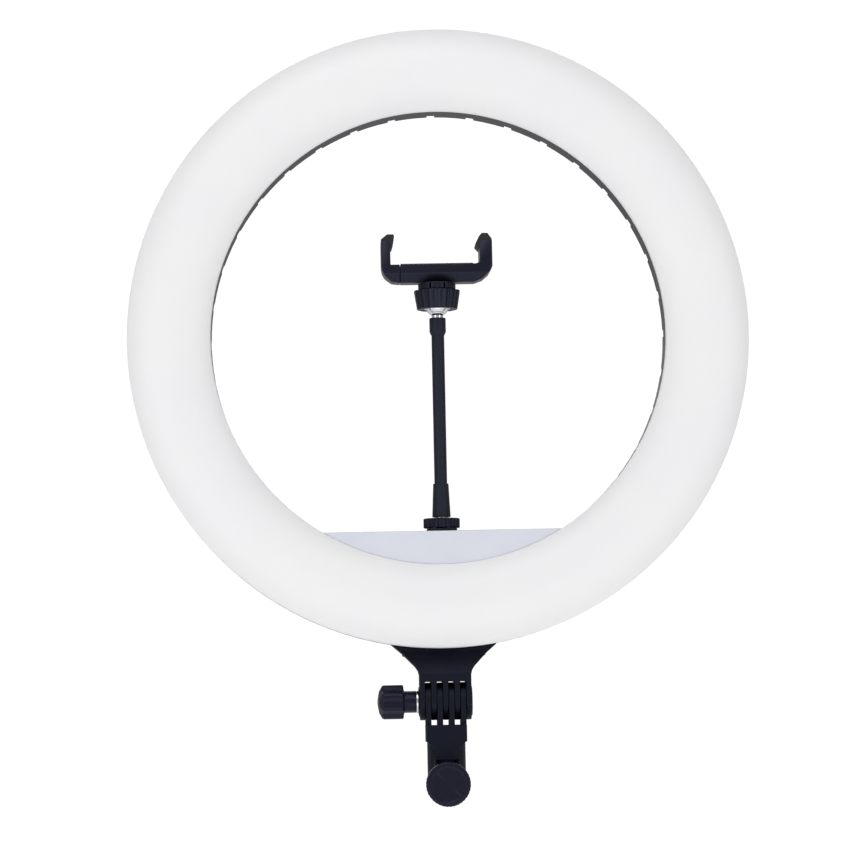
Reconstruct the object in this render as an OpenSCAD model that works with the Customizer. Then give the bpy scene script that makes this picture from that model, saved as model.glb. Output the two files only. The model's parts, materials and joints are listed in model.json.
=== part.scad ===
// Ring light: a lit ring with a flexible phone holder in its opening, on a tilting stand socket.
// The origin is the mouth of the stand socket, +Z is up and the lit face looks along -Y.

/* [Ring] */
// Outer diameter of the ring
ring_d = 450; // [446:1:454]
// Diameter of the opening inside the ring
opening_d = 329.5; // [327:0.5:331]
// Height of the ring's centre above the socket's mouth
ring_z = 330; // [328:1:334]
// Wall thickness of the translucent cover
diffuser_wall = 1.8; // [1.6:0.1:2]
// Wall thickness of the rear housing
housing_wall = 2.4; // [2.2:0.1:2.6]
// Number of vent slots in a full turn
vent_count = 36; // [24, 30, 36]
// Width of one vent slot
vent_w = 5.6; // [3:0.1:6]
// Light-emitting chips of each colour
led_count = 48; // [24, 36, 48]

/* [Chord] */
// Height of the chord's flat top above the socket's mouth
chord_top_z = 189.5; // [189:0.5:190]

/* [Tilt bracket] */
// Height of the tilt axis above the socket's mouth
hinge_z = 67; // [66:0.5:68]
// Radius of the rounded finger ends
knuckle_r = 13.5; // [12:0.5:13.5]
// Distance between neighbouring finger slots
slot_pitch = 8.4; // [8.2:0.1:8.6]
// Width of one finger slot
slot_w = 4.3; // [4.1:0.1:4.4]
// Radius of the hinge bolt
bolt_r = 3; // [2.5:0.5:3]

/* [Stand socket] */
// Radius of the socket's bore, for a 16 mm spigot
socket_r = 8.1; // [8:0.05:8.2]
// Depth of the socket's bore
socket_depth = 33; // [30:1:34]
// Outer radius of the socket
socket_outer_r = 13.8; // [13.5:0.1:14]
// Height of the thumbscrew's axis above the socket's mouth
thumb_z = 8; // [8:0.5:12]
// Radius of the thumbscrew's knob
thumb_knob_r = 16; // [14:0.2:16]

/* [Phone holder] */
// Radius of the flexible neck
neck_r = 4.65; // [4.5:0.05:4.8]
// Distance from one neck pivot to the next
link_pitch = 10.4; // [10.4:0.1:10.6]
// Radius of the bright ball
ball_r = 9; // [8.9:0.1:9]
// Depth of the phone clamp, front to back
clamp_depth = 24; // [22:1:26]
// Height of the phone clamp's flat top above the socket's mouth
clamp_top_z = 383.6; // [383:0.2:384]

/* [Hidden] */
$fn = 72;

// Gaps and shared sizes
gap = 0.3; // between pieces that must not touch
run = 0.08; // radial clearance of a running fit
seat = 0.03; // radial clearance of a seated insert
cut = 1; // how far a cutting shape runs past a face
eps = 0.1; // overlap that joins two shapes into one solid

// Ring section: u is the radius from the ring's axis and f runs forward from the ring plane
ring_y = -10; // where the ring plane lies on the row's Y axis
ring_r = ring_d / 2;
open_r = opening_d / 2;
mid_r = (ring_r + open_r) / 2;
section_w = ring_r - open_r;
crown_r = 44; // radius of the crowned front
crown_f = 18; // how far the crown stands forward
crown_c = crown_f - crown_r; // height of the crown arc's centre
skirt_f = -8; // back edge of the outer skirt
inner_skirt_f = 2; // back edge of the inner skirt
back_f = -26; // rear face of the housing
corner_r = 5; // outer corner of the housing
floor_f = back_f + housing_wall;
lip_w = 2.2; // thickness of the locating lips
screw_ring_r = 217.3; // radius at which the housing screws stand
post_r = 2.6;
post_f = -22; // rear end of a screw post
post_top_f = 9.8;
screw_angles = [for (i = [0:7]) 22.5 + 45 * i];

// Lighting parts
board_f = -12; // rear face of the LED boards
board_t = 1.6;
board_in_r = 173;
board_out_r = 213.5;
board_gap_deg = 0.6; // half of the gap between the two boards
boss_r = 3.5;
m3_r = 1.5;
m3_head_r = 2.8;
led_w = 5.6;
led_h = 3;
led_t = 0.9;
warm_r = 184;
cool_r = 204;
led_step = 360 / led_count;

// Chord: heights measured from the ring's centre
chord_y = chord_top_z - ring_z;
cover_t = 2.6;
driver_f = -6.6; // rear face of the driver board
driver_t = 1.6;
driver_r = 162.6;
driver_top = 4; // distance of the board's top edge below the chord's top face
standoff_xs = [-58, -20, 20, 58];
standoff_y = chord_y - 7.5;
rib_xs = [-45, 45];
rib_w = 12;
passage_x = 41.5; // wires pass from the chord into the ring on both sides
passage_y = -170;
wire_r = 0.9;
wire_xs = [40, 43];

// Controls on the rear face
switch_y = chord_y - 12.3;
switch_w = 18.8;
switch_h = 12.8;
bezel = 1.1;
rocker_half_w = 7.6;
rocker_half_h = 5.2;
rocker_tilt = 10;
rocker_pin_r = 1.2;
rocker_pivot_f = back_f + 1.2;
inlet_x = 30;
inlet_y = chord_y - 10;
inlet_r = 5.5;
knob_x = 48;
knob_ring_r = 195;
knob_y = -sqrt(knob_ring_r * knob_ring_r - knob_x * knob_x);
dial_r = 9;
dial_shaft_r = 3;
bushing_r = 3.6;

// Vents, cut through the corner between the opening's wall and the back
vent_reach = 12;
vent_h = 11.5;
vent_turn = 0.7;

// Tilt bracket
slot_xs = [for (i = [-1.5:1:1.5]) i * slot_pitch];
slot_low_z = hinge_z - 20;
slot_top_z = hinge_z + knuckle_r + 0.6;
finger_half_w = 18.6; // half width across the fingers
knuckle_half_w = 19.35; // half width across the round bosses at the bolt
knuckle_boss_r = 10.5;
flare_half_w = 41.5; // half width where the bracket meets the ring
flare_z = 111;
bracket_top_z = 115;
plate_y = 16.2; // front face of the plate that is screwed to the ring
plate_t = 3;
plate_half_w = 30;
plate_low_z = 100;
plate_top_z = 138;
bracket_xs = [-22, 22];
bracket_zs = [116, 130];
m4_r = 2;
m4_head_r = 3.6;
hex_r = 5.7; // corner radius of the hinge bolt's head
head_t = 2.4;
bolt_end_x = -36;
washer_x = -20.9;
washer_t = 1.4;

// Hinge knob
knob_neck_x = -21; // face that bears on the washer
knob_shoulder_x = -29.8;
knob_end_x = -49;
knob_neck_r = 7.9;
knob_grip_r = 13;

// Stand adapter
finger_w = slot_w - 0.4;
block_half_w = 14.65;
block_low_z = 38;
block_top_z = hinge_z - 17;
block_front_y = -16;
web_front_y = -16;
web_back_y = -5;
insert_r = 4.5;
insert_front_y = -21;
insert_l = 8.4;
thumb_end_y = -37;
thumb_h = 11; // thickness of the thumbscrew's grip
thumb_hub_r = 8;
thumb_hub_h = 13.5;

// Cold shoe and the foot in it
neck_y = 3; // the neck's axis on the row's Y axis
shoe_w = 21.5;
shoe_bottom_z = chord_top_z - 2.6;
shoe_floor = 1;
shoe_top_z = chord_top_z + 2.1;
shoe_front_y = -8;
shoe_back_y = 15.9;
channel_w = 18.7;
channel_top_z = shoe_top_z - 1.5;
shoe_mouth_w = 12.6;
foot_w = 18.5;
foot_l = 18.4;
foot_z = shoe_bottom_z + shoe_floor + 0.1;
foot_t = 2;
post_out_r = 4;
wheel_z = 192;
wheel_h = 7;
wheel_r = 13.3;
collar_z = 200;
collar_h = 24.4;

// Neck
pivot_z = 227.5; // height of the first neck pivot
link_count = 10;
joint_ball_r = 3.2;
joint_stem_r = 1.9;
link_below = 1.2; // how far a link reaches below its own pivot
link_above = 2.9; // how far below the next pivot its barrel stops
neck_top_z = 332.5;
spigot_r = 2.6;
collar_top_z = 345.2;
upper_collar_r = 6;
yaw_r = 3;

// Ball joint
ball_z = 355;
liner_in_r = ball_r + 0.06;
liner_out_r = 9.9;
cavity_r = liner_out_r + 0.07;
liner_drop = 3.2; // how far the liner and collet reach below the ball's centre
collet_drop = 3.4;
collet_r = 12.4;
collet_block_r = 13.7;
collet_block_z = 365.8;
collet_slit_w = 1.2;
nut_drop = 3.6;
nut_top = 10.4;
nut_top_r = 17.1;
nut_low_r = 14.9;
nut_bore_r = collet_r + 0.15;

// Clamp
clamp_low_z = clamp_top_z - 13;
clamp_half_w = 40.5;
seam_x = -26.6; // where the sliding jaw meets the body
right_face_x = 31.1; // gripping face of the fixed jaw
left_face_x = -33.6; // gripping face of the sliding jaw
grip_z = clamp_top_z + 17.4; // where the rubber tips start
tip_z = clamp_top_z + 22.2;
tongue_z = clamp_low_z + 7;
tongue_h = 6;
tongue_w = 14;
tongue_end_x = 12;
channel_end_x = 30;
rod_r = 1.25;
rod_y = 4.6;
rod_left_x = -25;
spring_r = 2.2;

module in_ring() {
    translate([0, ring_y, ring_z]) rotate([90, 0, 0]) children();
}

module at_neck(z) {
    translate([0, neck_y, z]) children();
}

module around(angles, radius) {
    for (a = angles) rotate(a) translate([radius, 0, 0]) children();
}

module along_x(x, y, z) {
    translate([x, y, z]) rotate([0, 90, 0]) children();
}

module along_y(x, y, z) {
    translate([x, y, z]) rotate([-90, 0, 0]) children();
}

// A tube with a floor-to-top bore
module tube(outer, inner, h) {
    difference() {
        cylinder(r = outer, h = h);
        translate([0, 0, -cut]) cylinder(r = inner, h = h + 2 * cut);
    }
}

// A cross-section standing in the XZ plane, extruded from y0 to y1
module slab_xz(y0, y1) {
    translate([0, y1, 0]) rotate([90, 0, 0]) linear_extrude(y1 - y0) children();
}

// A cross-section standing in the YZ plane, extruded from x0 to x1
module slab_yz(x0, x1) {
    translate([x0, 0, 0]) rotate([90, 0, 90]) linear_extrude(x1 - x0) children();
}

// ---- Ring head ----

module crown_area(inset) {
    intersection() {
        translate([mid_r, crown_c]) circle(crown_r - inset, $fn = 256);
        translate([open_r + inset, skirt_f - inset])
            square([section_w - 2 * inset, crown_f - skirt_f + cut]);
    }
}

module diffuser_section() {
    difference() {
        crown_area(0);
        crown_area(diffuser_wall);
        // the inner skirt stops further forward than the outer one
        translate([open_r - cut, skirt_f - cut]) square([section_w / 2, inner_skirt_f - skirt_f + cut]);
    }
}

module diffuser() {
    color("white") in_ring() {
        difference() {
            union() {
                rotate_extrude($fn = 180) diffuser_section();
                around(screw_angles, screw_ring_r) translate([0, 0, post_f])
                    cylinder(r = post_r, h = post_top_f - post_f);
            }
            around(screw_angles, screw_ring_r) translate([0, 0, post_f - cut])
                cylinder(r = m3_r + 0.05, h = 17);
        }
    }
}

module chord_area(radius, drop) {
    intersection() {
        circle(radius, $fn = 256);
        translate([-radius, -radius - cut]) square([2 * radius, radius + cut + chord_y - drop]);
    }
}

module chord_cover() {
    color("gainsboro") in_ring() {
        translate([0, 0, inner_skirt_f]) linear_extrude(cover_t) chord_area(open_r - gap, 0);
        // two ribs that locate the plate behind the chord's top wall
        for (x = rib_xs) translate([x - rib_w / 2, chord_y - housing_wall - 2.2, -2])
            cube([rib_w, 1.8, 2 + inner_skirt_f + eps]);
    }
}

module housing_base(w, h, c) {
    translate([c, 0]) square([w - 2 * c, h]);
    translate([0, c]) square([w, h - c]);
    translate([c, c]) circle(c);
    translate([w - c, c]) circle(c);
}

module housing_section() {
    rim_h = inner_skirt_f - gap - back_f;
    difference() {
        translate([open_r, back_f]) housing_base(section_w, rim_h, corner_r);
        translate([open_r + housing_wall, floor_f])
            housing_base(section_w - 2 * housing_wall, rim_h, corner_r - housing_wall);
        translate([ring_r - 6, skirt_f - gap]) square([6 + cut, rim_h]);
    }
    // lips that the diffuser's two skirts slip over
    translate([ring_r - diffuser_wall - gap - lip_w, skirt_f - 4]) square([lip_w, 2 - skirt_f + 4]);
    translate([open_r + diffuser_wall + gap, -4]) square([1.8, 8.5]);
}

module vent() {
    translate([open_r - cut, -vent_w / 2, back_f - cut]) cube([vent_reach, vent_w, vent_h]);
}

module rear_housing() {
    vent_angles = [for (i = [0:vent_count - 1]) let (a = 360 * i / vent_count + vent_turn)
        if (abs(a - 270) > 34) a];
    bracket_ys = [for (z = bracket_zs) z - ring_z];
    color("black") in_ring() difference() {
        union() {
            rotate_extrude($fn = 180) housing_section();
            // chord block
            translate([0, 0, back_f]) linear_extrude(housing_wall) chord_area(open_r + 1, 0);
            translate([0, 0, back_f]) linear_extrude(inner_skirt_f - gap - back_f) intersection() {
                circle(open_r + 1, $fn = 256);
                translate([-open_r, chord_y - housing_wall]) square([2 * open_r, housing_wall]);
            }
            around(screw_angles, mid_r) translate([0, 0, floor_f - eps])
                cylinder(r = boss_r, h = board_f - floor_f + eps);
            around(screw_angles, screw_ring_r) translate([0, 0, back_f + 1])
                cylinder(r = 4.2, h = post_f - gap - back_f - 1);
            for (x = bracket_xs, y = bracket_ys) translate([x, y, floor_f - eps]) cylinder(r = 4, h = 9);
            for (x = standoff_xs) translate([x, standoff_y, floor_f - eps])
                cylinder(r = 2.6, h = driver_f - floor_f + eps);
        }
        around(vent_angles, 0) vent();
        around(screw_angles, mid_r) translate([0, 0, floor_f + 1]) cylinder(r = m3_r + 0.05, h = 20);
        around(screw_angles, screw_ring_r) {
            translate([0, 0, back_f - cut]) cylinder(r = m3_head_r + gap, h = cut + 1.9);
            translate([0, 0, back_f - cut]) cylinder(r = 1.7, h = 8);
        }
        for (x = bracket_xs, y = bracket_ys) translate([x, y, back_f - cut])
            cylinder(r = m4_r + 0.05, h = 11);
        for (x = standoff_xs) translate([x, standoff_y, floor_f + 1]) cylinder(r = 1.05, h = 20);
        // switch, inlet and dial openings
        translate([0, switch_y, back_f - cut]) linear_extrude(6)
            square([switch_w + 0.2, switch_h + 0.2], center = true);
        translate([inlet_x, inlet_y, back_f - cut]) cylinder(r = inlet_r + 0.1, h = 6);
        for (x = [-knob_x, knob_x]) translate([x, knob_y, back_f - cut])
            cylinder(r = bushing_r + 0.05, h = 6);
        // wire passages from the chord into the ring
        for (s = [-1, 1]) translate([s * passage_x - 5, passage_y, -17]) cube([10, 14, 8]);
        // pocket for the cold shoe, open at the back
        translate([-shoe_w / 2 - 0.1, chord_y - 2.7, -shoe_back_y + ring_y - cut])
            cube([shoe_w + 0.2, 2.7 + cut, shoe_back_y - shoe_front_y + cut + 0.1]);
    }
}

module led_board(start) {
    color("ivory") in_ring() difference() {
        translate([0, 0, board_f])
            rotate_extrude(angle = 180 - 2 * board_gap_deg, start = start + board_gap_deg, $fn = 180)
                translate([board_in_r, 0]) square([board_out_r - board_in_r, board_t]);
        around(screw_angles, mid_r) translate([0, 0, board_f - cut]) cylinder(r = m3_r + 0.2, h = 4);
    }
}

module led_board_left() {
    led_board(90);
}

module led_board_right() {
    led_board(-90);
}

module led_ring(radius, phase) {
    in_ring() around([for (i = [0:led_count - 1]) led_step * (i + phase)], radius)
        translate([-led_h / 2, -led_w / 2, board_f + board_t]) cube([led_h, led_w, led_t]);
}

module warm_leds() {
    color("gold") led_ring(warm_r, 0.25);
}

module cool_leds() {
    color("lemonchiffon") led_ring(cool_r, 0.75);
}

module wire(x, side) {
    y0 = chord_y - 14;
    y1 = passage_y - 6;
    low = -13.6;
    translate([side * x, 0, 0]) {
        translate([0, y0, low]) cylinder(r = wire_r, h = driver_f - low);
        translate([0, y1, low]) cylinder(r = wire_r, h = board_f - low);
        along_y(0, y1, low) cylinder(r = wire_r, h = y0 - y1);
        translate([0, y0, low]) sphere(wire_r);
        translate([0, y1, low]) sphere(wire_r);
    }
}

module led_leads() {
    color("red") in_ring() for (x = wire_xs, side = [-1, 1]) wire(x, side);
}

module driver_board() {
    color("darkgreen") in_ring() difference() {
        translate([0, 0, driver_f]) linear_extrude(driver_t) chord_area(driver_r, driver_top);
        for (x = standoff_xs) translate([x, standoff_y, driver_f - cut]) cylinder(r = 1.3, h = 4);
    }
}

module driver_parts() {
    color("dimgray") in_ring() {
        for (x = [-34, -46]) translate([x, chord_y - 9, driver_f - 9]) cylinder(r = 4, h = 9);
        translate([49, chord_y - 9, driver_f - 7]) tube(4.6, 1.6, 7);
        for (x = [-8, 8]) translate([x - 3, chord_y - 12, driver_f + driver_t]) cube([6, 5, 2.2]);
        for (s = [-1, 1]) translate([s * passage_x - 5, chord_y - 14.6, driver_f + driver_t])
            cube([10, 6, 4]);
        translate([-27, chord_y - 19, driver_f - 3]) cube([8, 8, 3]);
    }
}

module dc_inlet() {
    color("black") in_ring() translate([inlet_x, inlet_y, 0]) {
        difference() {
            union() {
                translate([0, 0, back_f - 1.2]) cylinder(r = inlet_r + 1.5, h = 1.2);
                translate([0, 0, back_f - eps]) cylinder(r = inlet_r, h = 13);
            }
            translate([0, 0, back_f - 1.2 - cut]) cylinder(r = 2.8, h = cut + 10);
        }
        translate([0, 0, back_f - 0.6]) cylinder(r = 1.05, h = 12);
    }
}

module power_switch() {
    color("black") in_ring() translate([0, switch_y, 0]) difference() {
        union() {
            translate([0, 0, back_f - 1]) linear_extrude(1)
                square([switch_w + 2 * bezel, switch_h + 2 * bezel], center = true);
            translate([0, 0, back_f - eps]) linear_extrude(14) square([switch_w, switch_h], center = true);
        }
        translate([0, 0, back_f - 1 - cut]) linear_extrude(cut + 8)
            square([2 * rocker_half_w + 1.8, 2 * rocker_half_h + 0.6], center = true);
        along_y(0, -rocker_half_h - 0.9, rocker_pivot_f) cylinder(r = rocker_pin_r + run, h = 12.2);
    }
}

module power_rocker() {
    color("black") in_ring() translate([0, switch_y, rocker_pivot_f]) rotate([0, rocker_tilt, 0]) {
        along_y(0, rocker_half_h, 0) rotate([180, 0, 0]) linear_extrude(2 * rocker_half_h)
            polygon([[-rocker_half_w, 2.4], [rocker_half_w, 2.4], [rocker_half_w, -2.6], [0, -4],
                [-rocker_half_w, -2.6]]);
        along_y(0, -rocker_half_h - 0.8, 0) cylinder(r = rocker_pin_r, h = 2 * rocker_half_h + 1.6);
    }
}

module pot(side) {
    color("silver") in_ring() translate([side * knob_x, knob_y, 0]) difference() {
        union() {
            translate([-5.5, -5.5, floor_f]) cube([11, 11, 6]);
            translate([0, 0, back_f - 1.6]) cylinder(r = bushing_r, h = 1.6 + housing_wall + eps);
        }
        translate([0, 0, back_f - 1.6 - cut]) cylinder(r = dial_shaft_r + run, h = 8.2);
    }
}

module brightness_pot() {
    pot(-1);
}

module colour_pot() {
    pot(1);
}

module dial_shaft(side) {
    color("silver") in_ring() translate([side * knob_x, knob_y, back_f - 9.6])
        cylinder(r = dial_shaft_r, h = 14);
}

module brightness_shaft() {
    dial_shaft(-1);
}

module colour_shaft() {
    dial_shaft(1);
}

module dial(side) {
    color("black") in_ring() translate([side * knob_x, knob_y, back_f - 12]) difference() {
        cylinder(r = dial_r, h = 9.8);
        translate([0, 0, 2.2]) cylinder(r = dial_shaft_r + seat, h = 10);
        for (a = [0:24:359]) rotate(a) translate([dial_r + 0.4, 0, -cut]) cylinder(r = 0.9, h = 12);
        translate([-0.5, 3, -cut]) cube([1, 4.5, cut + 0.4]);
    }
}

module brightness_knob() {
    dial(-1);
}

module colour_knob() {
    dial(1);
}

module cold_shoe() {
    color("dimgray") difference() {
        translate([-shoe_w / 2, shoe_front_y, shoe_bottom_z])
            cube([shoe_w, shoe_back_y - shoe_front_y, shoe_top_z - shoe_bottom_z]);
        translate([-channel_w / 2, shoe_front_y + 1.5, shoe_bottom_z + shoe_floor])
            cube([channel_w, shoe_back_y - shoe_front_y, channel_top_z - shoe_bottom_z - shoe_floor]);
        translate([-shoe_mouth_w / 2, shoe_front_y + 1.5, shoe_bottom_z + shoe_floor])
            cube([shoe_mouth_w, shoe_back_y - shoe_front_y, 10]);
    }
}

module housing_screws() {
    color("silver") in_ring() around(screw_angles, screw_ring_r) {
        translate([0, 0, back_f + 0.2]) cylinder(r = m3_head_r, h = 1.7);
        translate([0, 0, back_f + 1.8]) cylinder(r = m3_r, h = 16);
    }
}

module board_screws() {
    color("silver") in_ring() {
        around(screw_angles, mid_r) {
            translate([0, 0, board_f + board_t]) cylinder(r = m3_head_r, h = 1.6);
            translate([0, 0, board_f - 8]) cylinder(r = m3_r, h = 8 + board_t + eps);
        }
        for (x = standoff_xs) translate([x, standoff_y, 0]) {
            translate([0, 0, driver_f + driver_t]) cylinder(r = 2, h = 1.3);
            translate([0, 0, driver_f - 6]) cylinder(r = 1, h = 6 + driver_t + eps);
        }
    }
}

// ---- Tilt bracket and stand socket ----

module bracket_outline() {
    for (s = [-1, 1]) scale([s, 1]) polygon([[0, hinge_z - 14], [finger_half_w, hinge_z - 14],
        [finger_half_w, 86], [19.4, 89], [21.4, 92], [30, 101], [flare_half_w, flare_z],
        [flare_half_w, bracket_top_z], [0, bracket_top_z]]);
}

module bracket_side() {
    translate([0, hinge_z]) circle(knuckle_r);
    polygon([[-knuckle_r, hinge_z], [-knuckle_r, 87], [-2.2, 102], [-1.7, 104], [-1.7, bracket_top_z],
        [plate_y + plate_t, bracket_top_z], [plate_y + plate_t, plate_low_z], [knuckle_r, 90],
        [knuckle_r, hinge_z]]);
}

module tilt_bracket() {
    color("black") difference() {
        union() {
            difference() {
                intersection() {
                    slab_xz(-30, 30) bracket_outline();
                    slab_yz(-60, 60) bracket_side();
                }
                // seat around the ring's outer wall
                translate([0, plate_y, ring_z]) rotate([90, 0, 0])
                    cylinder(r = ring_r + gap, h = 60, $fn = 256);
            }
            along_x(-knuckle_half_w, 0, hinge_z) cylinder(r = knuckle_boss_r, h = 2 * knuckle_half_w);
            // back plate that the ring is screwed to
            slab_xz(plate_y, plate_y + plate_t) difference() {
                translate([-plate_half_w, plate_low_z])
                    square([2 * plate_half_w, plate_top_z - plate_low_z]);
                for (s = [-1, 1]) translate([s * plate_half_w, plate_top_z]) rotate(45)
                    square(8, center = true);
            }
        }
        for (x = slot_xs) translate([x - slot_w / 2, -20, slot_low_z])
            cube([slot_w, 40, slot_top_z - slot_low_z]);
        along_x(-30, 0, hinge_z) cylinder(r = bolt_r + run, h = 60);
        along_x(knuckle_half_w - head_t - 0.2, 0, hinge_z) cylinder(r = hex_r + 0.2, h = 10, $fn = 6);
        for (x = bracket_xs, z = bracket_zs) along_y(x, 10, z) cylinder(r = m4_r + 0.2, h = 20);
    }
}

module bracket_screws() {
    shank_y = 6.5;
    color("silver") for (x = bracket_xs, z = bracket_zs) {
        along_y(x, plate_y + plate_t, z) difference() {
            cylinder(r = m4_head_r, h = 2.2);
            translate([0, 0, 1]) cylinder(r = 1.7, h = 4, $fn = 6);
        }
        along_y(x, shank_y, z) cylinder(r = m4_r, h = plate_y + plate_t - shank_y + eps);
    }
}

module hinge_bolt() {
    color("silver") {
        along_x(knuckle_half_w - head_t - 0.1, 0, hinge_z) cylinder(r = hex_r, h = head_t, $fn = 6);
        along_x(bolt_end_x, 0, hinge_z) cylinder(r = bolt_r, h = knuckle_half_w - head_t - bolt_end_x);
    }
}

module hinge_washer() {
    color("gainsboro") along_x(washer_x, 0, hinge_z) tube(8.4, bolt_r + run, washer_t);
}

module hinge_knob() {
    dome_r = 26;
    color("black") difference() {
        union() {
            along_x(knob_shoulder_x - eps, 0, hinge_z)
                cylinder(r = knob_neck_r, h = knob_neck_x - knob_shoulder_x + eps);
            intersection() {
                along_x(knob_end_x, 0, hinge_z) cylinder(r = knob_grip_r, h = knob_shoulder_x - knob_end_x);
                translate([knob_end_x + dome_r, 0, hinge_z]) sphere(dome_r, $fn = 128);
            }
        }
        along_x(bolt_end_x - 2, 0, hinge_z) cylinder(r = bolt_r + run, h = 20);
        // finger hollows around the grip
        for (a = [0:45:359]) translate([0, 0, hinge_z]) rotate([a, 0, 0])
            translate([knob_end_x - cut, 0, knob_grip_r + 3]) rotate([0, 90, 0]) cylinder(r = 4.2, h = 14);
    }
}

module adapter_side() {
    translate([0, hinge_z]) circle(knuckle_r);
    translate([-knuckle_r, block_low_z]) square([2 * knuckle_r, hinge_z - block_low_z]);
}

module stand_adapter() {
    web_top_z = block_low_z + 0.5;
    web_half_w = 5;
    color("black") difference() {
        union() {
            for (x = slot_xs) slab_yz(x - finger_w / 2, x + finger_w / 2) adapter_side();
            translate([-block_half_w, block_front_y, block_low_z])
                cube([2 * block_half_w, knuckle_r - block_front_y, block_top_z - block_low_z]);
            cylinder(r = socket_outer_r, h = web_top_z);
            // web that runs down into the thumbscrew's boss
            slab_xz(web_front_y, web_back_y) polygon([[-block_half_w, web_top_z], [-web_half_w, 30],
                [-web_half_w, thumb_z], [web_half_w, thumb_z], [web_half_w, 30], [block_half_w, web_top_z]]);
            along_y(0, web_front_y - 0.5, thumb_z + 0.5) cylinder(r = thumb_z, h = 7);
            along_y(0, insert_front_y, thumb_z) cylinder(r = thumb_z - 0.3, h = 12);
        }
        translate([0, 0, -cut]) cylinder(r = socket_r, h = socket_depth + cut);
        along_x(-30, 0, hinge_z) cylinder(r = bolt_r + run, h = 60);
        along_y(0, insert_front_y - cut, thumb_z) cylinder(r = insert_r + seat, h = insert_l + cut + 0.1);
        along_y(0, insert_front_y - cut, thumb_z) cylinder(r = bolt_r + 0.2, h = 20);
    }
}

module thumb_insert() {
    color("goldenrod") along_y(0, insert_front_y, thumb_z) tube(insert_r, bolt_r + run, insert_l);
}

module thumb_screw() {
    color("silver") along_y(0, -32, thumb_z) cylinder(r = bolt_r, h = 21.9);
}

module thumb_knob() {
    dome_r = 63.5;
    color("black") along_y(0, thumb_end_y, thumb_z) difference() {
        union() {
            intersection() {
                cylinder(r = thumb_knob_r, h = thumb_h);
                translate([0, 0, dome_r - 1.5]) sphere(dome_r, $fn = 200);
            }
            cylinder(r = thumb_hub_r, h = thumb_hub_h);
        }
        translate([0, 0, 4]) cylinder(r = bolt_r + seat, h = 12);
        for (a = [0:20:359]) rotate(a) translate([thumb_knob_r + 1.6, 0, -cut]) cylinder(r = 2, h = 14);
    }
}

module pressure_pad() {
    color("goldenrod") along_y(0, -10, thumb_z) cylinder(r = 2.9, h = 1.6);
}

// ---- Phone holder ----

module shoe_foot() {
    color("silver") {
        translate([-foot_w / 2, neck_y - foot_l / 2, foot_z]) cube([foot_w, foot_l, foot_t]);
        at_neck(foot_z + eps) cylinder(r = post_out_r, h = 15);
    }
}

module shoe_wheel() {
    color("black") at_neck(wheel_z) difference() {
        cylinder(r = wheel_r, h = wheel_h);
        translate([0, 0, -cut]) cylinder(r = post_out_r + run, h = wheel_h + 2 * cut);
        for (a = [0:15:359]) rotate(a) translate([wheel_r + 0.5, 0, -cut])
            cylinder(r = 1.3, h = wheel_h + 2 * cut);
    }
}

module joint_ball(z) {
    at_neck(z - link_above - eps) cylinder(r = joint_stem_r, h = link_above + eps);
    at_neck(z) sphere(joint_ball_r);
}

module lower_collar() {
    color("black") {
        difference() {
            at_neck(collar_z) cylinder(r1 = 6.7, r2 = 5.6, h = collar_h);
            at_neck(collar_z - cut) cylinder(r = post_out_r + seat, h = cut + 5);
        }
        joint_ball(pivot_z);
    }
}

module neck_link(i) {
    z = pivot_z + (i - 1) * link_pitch;
    last = i == link_count;
    top_z = last ? neck_top_z : z + link_pitch - link_above;
    color("dimgray") {
        difference() {
            at_neck(z - link_below) cylinder(r = neck_r, h = top_z - z + link_below);
            at_neck(z) sphere(joint_ball_r + run);
        }
        if (last) at_neck(top_z - eps) cylinder(r = spigot_r, h = 3.5);
        else joint_ball(z + link_pitch);
    }
}

module upper_collar() {
    color("black") difference() {
        union() {
            at_neck(neck_top_z) cylinder(r1 = neck_r + 0.2, r2 = upper_collar_r, h = 2.5);
            at_neck(neck_top_z + 2.5) cylinder(r = upper_collar_r, h = collar_top_z - neck_top_z - 2.5);
        }
        at_neck(neck_top_z - cut) cylinder(r = spigot_r + seat, h = cut + 4);
        at_neck(337.5) cylinder(r = yaw_r + run, h = 20);
    }
}

module ball_stud() {
    color("gainsboro") {
        at_neck(ball_z) sphere(ball_r);
        at_neck(collar_top_z + 0.2) cylinder(r = 4.2, h = ball_z - collar_top_z);
        at_neck(338) cylinder(r = yaw_r, h = 12);
    }
}

module ball_liner() {
    color("ivory") at_neck(ball_z) difference() {
        sphere(liner_out_r);
        sphere(liner_in_r);
        translate([-20, -20, -20 - liner_drop]) cube([40, 40, 20]);
    }
}

module lock_ring() {
    color("black") at_neck(ball_z) difference() {
        translate([0, 0, -nut_drop]) cylinder(r1 = nut_low_r, r2 = nut_top_r, h = nut_drop + nut_top);
        translate([0, 0, -nut_drop - cut]) cylinder(r = nut_bore_r, h = 20);
        for (a = [0:30:359]) rotate(a) translate([nut_low_r + 1.4, 0, -nut_drop - cut])
            rotate([0, 8, 0]) cylinder(r = 2.4, h = 20);
    }
}

// Front-to-back section of the clamp, bevelled below
module clamp_side() {
    half = clamp_depth / 2;
    bevel_z = clamp_low_z + 6.4;
    polygon([[neck_y - half, bevel_z], [neck_y - half, tip_z + cut], [neck_y + half, tip_z + cut],
        [neck_y + half, bevel_z], [neck_y + half - 5, clamp_low_z], [neck_y - half + 5, clamp_low_z]]);
}

module clamp_shape() {
    intersection() {
        slab_xz(-20, 30) children();
        slab_yz(-60, 60) clamp_side();
    }
}

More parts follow.
